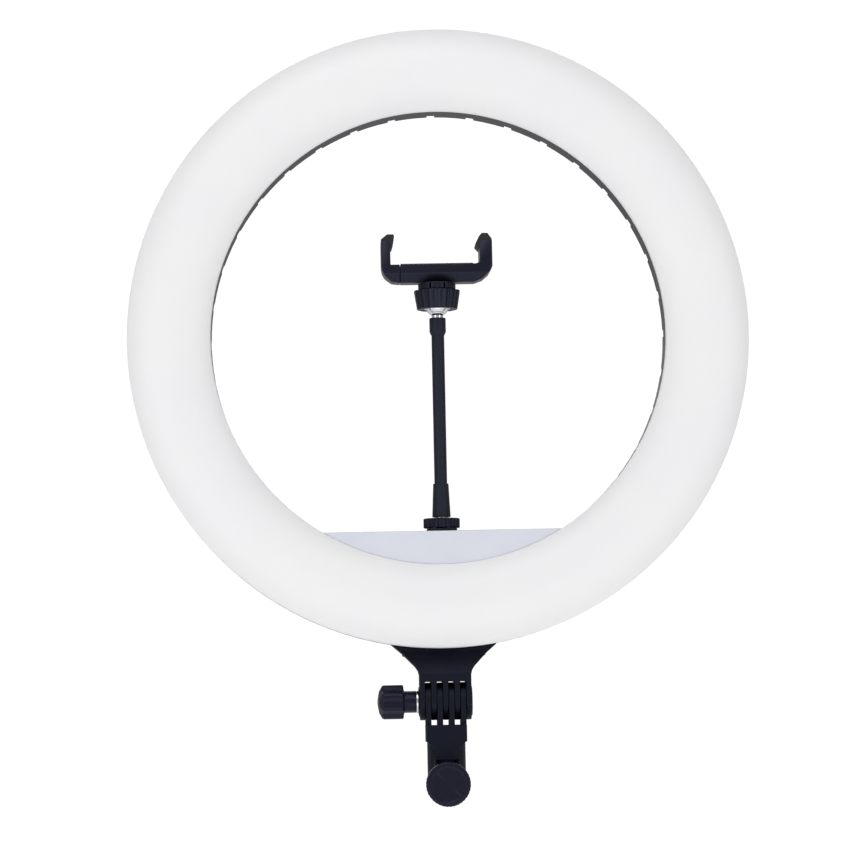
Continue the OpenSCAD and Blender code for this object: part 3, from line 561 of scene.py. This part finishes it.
def small_parts():
    # mixed parts on the driver board: dark sleeves and epoxy, each part a little different in tone
    tree, shader, spot = surface("parts_plastic", "capacitor sleeves and epoxy", "26262b", 0.4, IOR=1.5)
    patches = add(tree, "ShaderNodeTexVoronoi", {"Scale": per(11)}, {"Vector": spot})
    dress(tree, shader, patches.outputs["Distance"], tones=("1b1b1f", "3d3d46"), rough=(0.25, 0.5))


def wire_pvc():
    # PVC insulation: red, soft and slightly glossy
    tree, shader, spot = surface("wire_skin", "PVC insulation", "9b1c1c", 0.35, IOR=1.53)
    soft = add(tree, "ShaderNodeTexNoise", {"Scale": per(5), "Detail": 3.0}, {"Vector": spot})
    dress(tree, shader, soft.outputs["Fac"], tones=("8f1818", "ac2626"), rough=(0.3, 0.42), depth=0.01)


def drawn_wire():
    # drawn spring steel: grey, with draw marks
    tree, shader, spot = surface("spring_steel", "spring steel, drawn", "9c9ea3", 0.32, Metallic=1.0)
    marks = add(tree, "ShaderNodeTexNoise", {"Scale": per(0.25), "Detail": 3.0}, {"Vector": spot})
    dress(tree, shader, marks.outputs["Fac"], tones=("85878c", "b2b4b8"), rough=(0.25, 0.42), depth=0.004)


for make_look in (opal_pmma, white_abs, black_abs, black_nylon, knob_nylon, gloss_abs, clamp_abs, rubber,
                  sleeve_pvc, anodised, zinc_plate, chrome_plate, turned_brass, natural_nylon, white_mask,
                  green_mask, small_parts, wire_pvc, drawn_wire):
    make_look()
phosphor("warm_phosphor", "phosphor gel, warm", "e8b444", "f2cf7a")
phosphor("cool_phosphor", "phosphor gel, cool", "ece27e", "f6f0b4")


# ---- Ring head ----

CROWN_R = 44 * MM
CROWN_RISE = 18 * MM
COVER_WALL = 1.8 * MM
OUTER_SKIRT = 26 * MM
INNER_SKIRT = 16 * MM
CORNER = 3.2 * MM
SCREW_RING_R = 217.3 * MM
SCREW_COUNT = 8
FIRST_SCREW = math.pi / SCREW_COUNT
# ring coordinates have X to the right, Y up and Z forwards from the ring plane
IN_RING = Matrix.Translation((0, FRONT_Y + CROWN_RISE, RING_Z)) @ Matrix.Rotation(math.pi / 2, 4, "X")
BACK_F = FRONT_Y + CROWN_RISE - BACK_HIGH.y


def crown_side(inset, steps=48):
    """One face of the cover's section, from the inner skirt over the crown to the outer skirt."""
    half = (RING_R - OPEN_R) / 2 - inset
    reach = CROWN_R - inset
    swing = math.asin(half / reach)
    edge = CROWN_R - reach * math.cos(swing)
    arc_end = swing - CORNER / reach
    angles = [arc_end * (2 * k / steps - 1) for k in range(steps + 1)]
    arc = [(reach * math.sin(angle), CROWN_R - reach * math.cos(angle), 0) for angle in angles]
    soft = CORNER - inset
    return rounded([(-half, INNER_SKIRT, 0), (-half, edge, soft), *arc, (half, edge, soft),
                    (half, OUTER_SKIRT, 0)], 0)


def section_curve(points):
    """A closed flat curve through points."""
    data = bpy.data.curves.new("section", "CURVE")
    data.dimensions = "2D"
    spline = data.splines.new("POLY")
    spline.points.add(len(points) - 1)
    for held, point in zip(spline.points, points):
        held.co = (*point, 0, 1)
    spline.use_cyclic_u = True
    return data


def in_ring(mesh, forward=0.0):
    """Stands a mesh made in ring coordinates up in the ring."""
    mesh.transform(IN_RING @ Matrix.Translation((0, 0, forward)))
    return mesh


def ring_of(template, look, count, radius, first):
    """Copies of a template mesh round the ring's axis."""
    pattern = carry(template, "template")
    mesh = grow(RING_TREE, template=pattern, count=count, radius=radius, first=first, material=LOOKS[look])
    bpy.data.objects.remove(pattern)
    return in_ring(mesh)


def row_of(template, look, count, start, step):
    """Copies of a template mesh in a straight row."""
    pattern = carry(template, "template")
    mesh = grow(ROW_TREE, template=pattern, count=count, start=start, step=step, material=LOOKS[look])
    bpy.data.objects.remove(pattern)
    return mesh


def block(low, high):
    """A box between two corners."""
    points = [(x, y, z) for x in (low[0], high[0]) for y in (low[1], high[1]) for z in (low[2], high[2])]
    mesh = bpy.data.meshes.new("block")
    mesh.from_pydata(points, [], [(0, 1, 3, 2), (4, 6, 7, 5), (0, 4, 5, 1), (2, 3, 7, 6), (0, 2, 6, 4),
                                  (1, 5, 7, 3)])
    return outward(mesh)


def carve(mesh, *cutters):
    """A mesh with other meshes cut out of it."""
    carrier = carry(mesh)
    tools = [carry(cutter, "cutter") for cutter in cutters]
    for tool in tools:
        cut = carrier.modifiers.new("cut", "BOOLEAN")
        cut.operation = "DIFFERENCE"
        cut.solver = "EXACT"
        cut.object = tool
    made = settle(carrier)
    for used in (carrier, *tools):
        bpy.data.objects.remove(used)
    return made


def opal_cover():
    """The lit face: one section swept round the ring, with its skirts and wall, and its screw posts."""
    section = section_curve(crown_side(0) + crown_side(COVER_WALL)[::-1])
    mesh = grow(sweep_tree(), section, radius=MIDDLE_R, steps=360, material=LOOKS["opal_plastic"])
    place("opal_cover", outward(in_ring(mesh, CROWN_RISE)), "opal_plastic", "diffuser", sharp=40)
    post = turned([(1.55 * MM, -22 * MM), (2.6 * MM, -22 * MM), (2.6 * MM, 10 * MM), (1.55 * MM, 10 * MM)],
                  (0, 0, 0), (0, 0, 1), turns=24, closed=True)
    posts = ring_of(post, "opal_plastic", SCREW_COUNT, SCREW_RING_R, FIRST_SCREW)
    place("cover_posts", posts, "opal_plastic", body=BODY_OF["diffuser"])


def cross_screw(head_r, head_h, shank_r, length):
    """A pan-head screw with a cross recess; its head looks along -Z and its shank runs up +Z."""
    outline = rounded([(0, 0), (head_r, 0, 0.9 * MM), (head_r, head_h, 0.2 * MM), (shank_r, head_h, 0),
                       (shank_r, length - 1 * MM, 0), (0.4 * MM, length, 0), (0, length)], 0, steps=4)
    screw = turned(outline, (0, 0, 0), (0, 0, 1), turns=32)
    arm, wide, deep = 0.62 * head_r, 0.16 * head_r, 0.75 * head_h
    return carve(screw, block((-arm, -wide, -deep), (arm, wide, deep)),
                 block((-wide, -arm, -deep), (wide, arm, deep)))


def head_screws():
    """Eight screws that hold the cover, seen in their counterbores from behind."""
    screw = cross_screw(2.8 * MM, 1.7 * MM, 1.5 * MM, 17.6 * MM)
    screw.transform(Matrix.Translation((0, 0, BACK_F + 0.2 * MM)))
    screws = ring_of(screw, "zinc_steel", SCREW_COUNT, SCREW_RING_R, FIRST_SCREW)
    place("cover_screws", screws, "zinc_steel", "housing_screws")


def lit_chips():
    """Two rings of light-emitting chips, each a soft dome of phosphor gel."""
    low = BOARD_TOP
    rows = (("warm", "warm_leds", 184 * MM, 0.25), ("cool", "cool_leds", 204 * MM, 0.75))
    for colour, node, radius, turn in rows:
        dome = block((-1.5 * MM, -2.8 * MM, low), (1.5 * MM, 2.8 * MM, low + 0.9 * MM))
        for point in dome.vertices:
            if point.co.z > low + 0.5 * MM:
                point.co.x *= 0.8
                point.co.y *= 0.88
        look = f"{colour}_phosphor"
        chips = ring_of(dome, look, CHIP_COUNT, radius, TAU * turn / CHIP_COUNT)
        place(f"{colour}_chips", chips, look, node, sharp=20)


def dial(name, node, mark):
    """A dimmer dial with a fluted edge, a dished face and a white pointer line."""
    low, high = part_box(node)
    centre = (low + high) / 2
    r = (high.x - low.x) / 2
    depth = high.y - low.y
    outline = rounded([(0, 5 * MM), (3.03 * MM, 5 * MM), (3.03 * MM, 0), (r, 0), (r, depth, 1.1 * MM),
                       (r - 2 * MM, depth, 0.8 * MM), (r - 2.6 * MM, depth - 0.5 * MM, 0.8 * MM),
                       (0, depth - 0.5 * MM)], 0)
    base = (centre.x, low.y, centre.z)
    body = turned(outline, base, (0, 1, 0), turns=180, rule=dips(15, 0.5 * MM, r - 1.6 * MM, 1 * MM, 3))
    place(name, body, "knob_plastic", node, sharp=50)
    line = block((centre.x - 0.45 * MM, high.y - 0.8 * MM, centre.z + 2.2 * MM),
                 (centre.x + 0.45 * MM, high.y - 0.35 * MM, centre.z + 6 * MM))
    place(mark, line, "white_abs", body=BODY_OF[node])


def rear_controls():
    """The switch, its rocker, the inlet and the two dials."""
    place("switch_frame", soften("power_switch", 0.3 * MM), "gloss_black", "power_switch")
    place("switch_rocker", soften("power_rocker", 0.35 * MM), "gloss_black", "power_rocker")
    place("inlet_socket", soften("dc_inlet", 0.2 * MM), "gloss_black", "dc_inlet")
    dial("brightness_dial", "brightness_knob", "brightness_mark")
    dial("colour_dial", "colour_knob", "colour_mark")


def chord_plate():
    """The white plate over the chord, its curved edge bedded against the opening's wall."""
    mesh = soften("chord_cover", 0.25 * MM)
    for point in mesh.vertices:
        reach = Vector((point.co.x, point.co.z - RING_Z))
        if reach.length > OPEN_R - 0.9 * MM:
            reach *= 1 + 0.28 * MM / reach.length
            point.co.x, point.co.z = reach.x, RING_Z + reach.y
    place("chord_plate", mesh, "white_abs", "chord_cover")


def ring_head():
    opal_cover()
    chord_plate()
    place("back_housing", soften("rear_housing", 0.4 * MM), "black_abs", "rear_housing")
    head_screws()
    lit_chips()
    rear_controls()
    place("shoe_channel", soften("cold_shoe", 0.25 * MM), "shoe_metal", "cold_shoe")


# ---- Tilt bracket and stand socket ----

def hex_screws():
    """Four button-head screws with hexagon sockets that hold the bracket to the ring."""
    low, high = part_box("bracket_screws")
    head_r, head_h = 3.6 * MM, 2.2 * MM
    outline = rounded([(0, head_h), (head_r, head_h, 1.5 * MM), (head_r, 0, 0.2 * MM), (2 * MM, 0, 0),
                       (2 * MM, low.y - high.y + head_h + 1 * MM, 0), (0, low.y - high.y + head_h)],
                      0, steps=5)
    screw = turned(outline, (0, 0, 0), (0, 1, 0), turns=40)
    socket = turned([(0, 1 * MM), (1.7 * MM, 1 * MM), (1.7 * MM, 3 * MM), (0, 3 * MM)],
                    (0, 0, 0), (0, 1, 0), turns=6)
    screw = carve(screw, socket)
    rise = (0, 0, high.z - low.z - 2 * head_r)
    columns = [row_of(screw, "zinc_steel", 2, (x, high.y - head_h, low.z + head_r), rise)
               for x in (low.x + head_r, high.x - head_r)]
    place("bracket_bolts", joined(*columns), "zinc_steel", "bracket_screws")


def hinge_knob():
    """The tilt lock: a lobed grip with a domed end on a plain round neck."""
    low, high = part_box("hinge_knob")
    centre = (low + high) / 2
    length, grip_r, neck_r, neck_l = high.x - low.x, 13 * MM, 7.9 * MM, 8.8 * MM
    outline = rounded([(0, 17 * MM), (3.08 * MM, 17 * MM, 0), (3.08 * MM, 0, 0.3 * MM), (neck_r, 0, 0.6 * MM),
                       (neck_r, neck_l, 0.8 * MM), (grip_r, neck_l + 0.6 * MM, 1.3 * MM),
                       (grip_r, length - 3.6 * MM, 2.4 * MM), (0.6 * grip_r, length - 1.1 * MM, 6 * MM),
                       (0.1 * grip_r, length, 0), (0, length)], 0, steps=8)
    rule = dips(8, 1.2 * MM, 9.5 * MM, 2.5 * MM)
    mesh = turned(outline, (high.x, centre.y, HINGE_Z), (-1, 0, 0), turns=192, rule=rule)
    place("tilt_lock_knob", mesh, "knob_plastic", "hinge_knob", sharp=50)


def thumb_knob():
    """The thumbscrew's round knob: a fluted rim, a rounded edge and a shallow dish in its face."""
    low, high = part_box("thumb_knob")
    centre = (low + high) / 2
    length, r, grip_l, hub_r = high.y - low.y, (high.x - low.x) / 2, 11 * MM, 8 * MM
    outline = rounded([(0, 9.5 * MM), (3.03 * MM, 9.5 * MM, 0), (3.03 * MM, 0, 0.3 * MM),
                       (hub_r, 0, 0.8 * MM),
                       (hub_r, length - grip_l, 0.8 * MM), (r, length - grip_l, 1.2 * MM),
                       (r, length - 0.3 * MM, 2 * MM), (r - 3 * MM, length, 0.8 * MM),
                       (r - 4.2 * MM, length - 0.9 * MM, 0.8 * MM), (0, length - 0.9 * MM)], 0, steps=8)
    rule = dips(36, 0.2 * MM, 14 * MM, 1.6 * MM)
    mesh = turned(outline, (centre.x, high.y, centre.z), (0, -1, 0), turns=216, rule=rule)
    place("thumbscrew_knob", mesh, "knob_plastic", "thumb_knob", sharp=50)


def washer():
    """A bright washer between the bracket and the tilt lock."""
    low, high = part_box("hinge_washer")
    outer, inner, thick = (high.z - low.z) / 2, 3.08 * MM, high.x - low.x
    outline = rounded([(inner, 0), (outer, 0), (outer, thick), (inner, thick)], 0.3 * MM, closed=True)
    mesh = turned(outline, (low.x, 0, HINGE_Z), (1, 0, 0), closed=True)
    place("bright_washer", mesh, "chrome", "hinge_washer")


def thumb_frame():
    """A raised square frame on the socket's front, round the thumbscrew's boss."""
    half, wall, top, front = 9.2 * MM, 1.6 * MM, 26.6 * MM, -19 * MM
    foot, back = 1.5 * MM, -12 * MM
    return joined(*[softened(block(low, high), 0.5 * MM) for low, high in (
        ((-half, front, top - wall), (half, back, top)),
        ((-half, front, foot), (wall - half, back, top - wall)),
        ((half - wall, front, foot), (half, back, top - wall)))])


def tilt_head():
    place("bracket", soften("tilt_bracket", 0.7 * MM, 3), "black_nylon", "tilt_bracket")
    block_mesh = joined(soften("stand_adapter", 0.7 * MM, 3), thumb_frame())
    place("stand_block", block_mesh, "black_nylon", "stand_adapter")
    place("hinge_pin", soften("hinge_bolt", 0.3 * MM), "zinc_steel", "hinge_bolt")
    hex_screws()
    hinge_knob()
    washer()
    thumb_knob()


# ---- Phone holder ----

NECK_Y = JOINTS["ball_yaw"]["pos_m"][1]
BALL_Z = JOINTS["ball_yaw"]["pos_m"][2]
SLEEVE_R = 4.65 * MM
COLLAR_TOP = 224.4 * MM


def turned_up(outline, **more):
    """Turned about the neck's axis, from (radius, height) points in the row's own height."""
    return turned(outline, (0, NECK_Y, 0), (0, 0, 1), **more)


def flexible_neck():
    """The sleeve: a length over each pivot, with the joins midway between pivots."""
    steps = [joint for name, joint in JOINTS.items() if name.startswith("neck_")]
    steps.sort(key=lambda joint: joint["pos_m"][2])
    heights = [joint["pos_m"][2] for joint in steps]
    half = (heights[1] - heights[0]) / 2
    tree = tube_tree()
    for i, (joint, z) in enumerate(zip(steps, heights), 1):
        foot = COLLAR_TOP - 1.4 * MM if i == 1 else z - half
        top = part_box("upper_collar")[0].z + 0.4 * MM if i == len(steps) else z + half
        mesh = grow(tree, foot=(0, NECK_Y, foot), top=(0, NECK_Y, top), radius=SLEEVE_R,
                    rings=24, material=LOOKS["neck_sleeve"])
        piece = place(f"neck_sleeve_{i}", outward(mesh), "neck_sleeve", f"neck_link_{i}", body="blended")
        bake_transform(piece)


def collars():
    """The moulded collars at the neck's two ends."""
    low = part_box("lower_collar")[0].z
    outline = rounded([(0, low + 5 * MM), (4.03 * MM, low + 5 * MM), (4.03 * MM, low),
                       (6.7 * MM, low, 0.5 * MM),
                       (5.6 * MM, COLLAR_TOP, 0.9 * MM), (0, COLLAR_TOP)], 0)
    place("foot_collar", turned_up(outline), "neck_sleeve", "lower_collar")
    low, high = (corner.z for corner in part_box("upper_collar"))
    outline = rounded([(0, low + 5 * MM), (3.08 * MM, low + 5 * MM, 0), (3.08 * MM, high, 0),
                       (6 * MM, high, 0.6 * MM), (6 * MM, low + 2.5 * MM, 1.5 * MM),
                       (4.85 * MM, low, 0.2 * MM),
                       (2.63 * MM, low, 0), (2.63 * MM, low + 4 * MM, 0), (0, low + 4 * MM)], 0)
    place("top_collar", turned_up(outline), "neck_sleeve", "upper_collar")


def foot_and_wheel():
    """The shoe foot and the knurled wheel that clamps it in the shoe."""
    place("foot_plate", soften("shoe_foot", 0.25 * MM), "zinc_steel", "shoe_foot")
    low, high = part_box("shoe_wheel")
    r = (high.x - low.x) / 2
    outline = rounded([(4.08 * MM, low.z), (r, low.z, 0.9 * MM), (r, high.z, 0.9 * MM),
                       (7.6 * MM, high.z, 0.4 * MM), (7.2 * MM, high.z - 0.4 * MM, 0.4 * MM),
                       (4.08 * MM, high.z - 0.4 * MM)], 0, closed=True)
    mesh = turned_up(outline, turns=240, closed=True, rule=dips(24, 0.8 * MM, r - 1.8 * MM, 1 * MM, 1.5))
    place("clamping_wheel", mesh, "knob_plastic", "shoe_wheel", sharp=50)


def bright_ball():
    """The ball on its stem, with a turned groove round its lower half."""
    low, high = (corner.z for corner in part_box("ball_stud"))
    r = high - BALL_Z
    stem_r, pin_r = 4.2 * MM, 3 * MM
    start = math.asin(stem_r / r)
    groove = math.radians(46)
    sphere = []
    for k in range(61):
        angle = start + (math.pi - start) * k / 60
        reach = r - 0.22 * MM * math.exp(-((angle - groove) / 0.028) ** 2)
        sphere.append((reach * math.sin(angle), BALL_Z - reach * math.cos(angle)))
    sphere[-1] = (0, high)
    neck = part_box("upper_collar")[1].z + 0.2 * MM
    mesh = turned_up([(0, low), (pin_r, low), (pin_r, neck), (stem_r, neck), *sphere])
    place("ball_and_stem", mesh, "chrome", "ball_stud")


def lobed_lock_ring():
    """The ring that closes the collet on the ball: twelve wide lobes on a body that widens upwards."""
    low, high = (corner.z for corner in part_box("lock_ring"))
    outline = rounded([(12.55 * MM, low, 0.3 * MM), (14.9 * MM, low, 1 * MM), (17.1 * MM, high, 0.8 * MM),
                       (12.55 * MM, high, 0.3 * MM)], 0, closed=True)
    rule = dips(12, 1.1 * MM, 13.3 * MM, 1.4 * MM, 3)
    ring = turned_up(outline, turns=240, closed=True, rule=rule)
    place("lobed_lock_ring", ring, "clamp_plastic", "lock_ring", sharp=50)


def clamp():
    """The clamp's body, its sliding jaw, the rubber on both and the ribbed pad behind the phone."""
    place("clamp_back", soften("clamp_body", 0.6 * MM, 3), "clamp_plastic", "clamp_body")
    # a low raised face on the jaw stops it against the body, so no light shows through the seam
    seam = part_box("clamp_body")[0].x
    foot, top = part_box("left_jaw")[0].z + 0.8 * MM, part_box("back_pad")[0].z - 0.8 * MM
    stop = block((seam - 0.6 * MM, NECK_Y - 5 * MM, foot), (seam - 0.02 * MM, NECK_Y + 5 * MM, top))
    place("sliding_jaw", joined(soften("left_jaw", 0.6 * MM, 3), stop), "clamp_plastic", "left_jaw")
    place("sliding_jaw_grip", soften("left_grip", 0.45 * MM, 3), "grip_rubber", "left_grip")
    place("fixed_jaw_grip", soften("right_grip", 0.45 * MM, 3), "grip_rubber", "right_grip")
    low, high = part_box("back_pad")
    count = 6
    pitch = (high.y - low.y) / count
    rib = block((low.x, -0.32 * pitch, 0), (high.x, 0.32 * pitch, 0.4 * MM))
    ribs = row_of(rib, "grip_rubber", count, (0, low.y + pitch / 2, high.z - 0.4 * MM), (0, pitch, 0))
    sheet = block(low, (high.x, high.y, high.z - 0.35 * MM))
    place("ribbed_back_pad", joined(sheet, ribs), "grip_rubber", "back_pad")


def wound_spring():
    """The jaw's spring, which stretches between the clamp and the sliding jaw."""
    low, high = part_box("clamp_spring")
    centre = (low + high) / 2
    wire = 0.35 * MM
    radius = (high.z - low.z) / 2 - wire
    mesh = grow(coil_tree(), turns=14.0, length=high.x - low.x - 2 * wire, radius=radius, wire=wire,
                material=LOOKS["spring_steel"])
    spot = Matrix.Translation((low.x + wire, centre.y, centre.z))
    mesh.transform(spot @ Matrix.Rotation(math.pi / 2, 4, "Y"))
    piece = place("jaw_spring", outward(mesh), "spring_steel", "clamp_spring", body="blended")
    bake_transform(piece)


def phone_holder():
    flexible_neck()
    collars()
    foot_and_wheel()
    bright_ball()
    lobed_lock_ring()
    clamp()
    wound_spring()


def finish_kept_nodes():
    """Gives every CAD node that still shows the finish that the record names for it."""
    for part in frame["record"]["subparts"]:
        node = frame["nodes"][part["node"]]
        if node.hide_render:
            continue
        for held in node.material_slots:
            held.material = LOOKS[part["material_slot"]]


# ---- Stage: floor, light and camera ----

FLOOR_Z = -1.3
VIEW_DISTANCE = 2.4
VIEW_WIDTH = 0.6145
VIEW_ROLL = math.radians(-1.15)


def aim(item, spot, target, roll=0.0):
    """Puts a lamp or camera at spot, looking at target."""
    item.location = spot
    look = (Vector(target) - Vector(spot)).to_track_quat("-Z", "Y").to_matrix().to_4x4()
    item.rotation_euler = (look @ Matrix.Rotation(roll, 4, "Z")).to_euler()


def camera():
    data = bpy.data.cameras.new("camera")
    data.sensor_width = 36.0
    data.lens = data.sensor_width * VIEW_DISTANCE / VIEW_WIDTH
    data.clip_end = 100.0
    held = bpy.data.objects.new("camera", data)
    SCENE.collection.objects.link(held)
    aim(held, (-0.075, -VIEW_DISTANCE, 0.06), (-0.0107, 0.0, 0.267), VIEW_ROLL)
    SCENE.camera = held


def soft_lamp(name, spot, target, wide, tall, power, warmth="ffffff"):
    data = bpy.data.lights.new(name, "AREA")
    data.shape = "RECTANGLE"
    data.size = wide
    data.size_y = tall
    data.energy = power
    data.color = linear(warmth)[:3]
    held = bpy.data.objects.new(name, data)
    held.visible_camera = False
    SCENE.collection.objects.link(held)
    aim(held, spot, target)


def lighting():
    """Large soft boxes above, beside and below a bright white room."""
    middle = (0, 0, 0.3)
    soft_lamp("key", (-0.4, -2.0, 2.5), middle, 2.6, 1.6, 29.0)
    soft_lamp("fill_left", (-2.3, -2.4, 0.2), middle, 1.6, 2.4, 18.0)
    soft_lamp("fill_right", (2.3, -2.4, 0.2), middle, 1.6, 2.4, 17.5)
    soft_lamp("bounce", (0, -2.0, -0.8), middle, 2.6, 1.2, 6.0)
    soft_lamp("rim", (0, 2.4, 1.6), middle, 3.0, 1.6, 30.0)
    world = bpy.data.worlds.new("white room")
    world.use_nodes = True
    tree = world.node_tree
    tree.nodes.clear()
    seen = add(tree, "ShaderNodeLightPath")
    light = add(tree, "ShaderNodeMapRange", {"To Min": 0.43, "To Max": 1.05},
                {"Value": seen.outputs["Is Camera Ray"]})
    shade = add(tree, "ShaderNodeBackground", {"Color": linear("ffffff")},
                {"Strength": light.outputs["Result"]})
    add(tree, "ShaderNodeOutputWorld", links={"Surface": shade.outputs["Background"]})
    SCENE.world = world


def floor():
    half = 6.0
    mesh = bpy.data.meshes.new("floor")
    corners = [(x, y, FLOOR_Z) for x, y in ((-half, -half), (half, -half), (half, half), (-half, half))]
    mesh.from_pydata(corners, [], [(0, 1, 2, 3)])
    look = bpy.data.materials.new("pale floor")
    look.use_nodes = True
    shader = look.node_tree.nodes["Principled BSDF"]
    shader.inputs["Base Color"].default_value = linear("fafafa")
    shader.inputs["Roughness"].default_value = 0.9
    shader.inputs["Emission Color"].default_value = linear("ffffff")
    # a white floor all the way to the horizon, without lighting the object from below
    seen = add(look.node_tree, "ShaderNodeLightPath")
    light = add(look.node_tree, "ShaderNodeMapRange", {"To Min": 0.16, "To Max": 0.7},
                {"Value": seen.outputs["Is Camera Ray"]})
    look.node_tree.links.new(light.outputs["Result"], shader.inputs["Emission Strength"])
    mesh.materials.append(look)
    sheet = bpy.data.objects.new("floor", mesh)
    SCENE.collection.objects.link(sheet)


RING_TREE = ring_tree()
ROW_TREE = row_tree()
camera()
lighting()
floor()
ring_head()
tilt_head()
phone_holder()
finish_kept_nodes()
SCENE.view_settings.view_transform = "Standard"
bpy.context.view_layer.update()
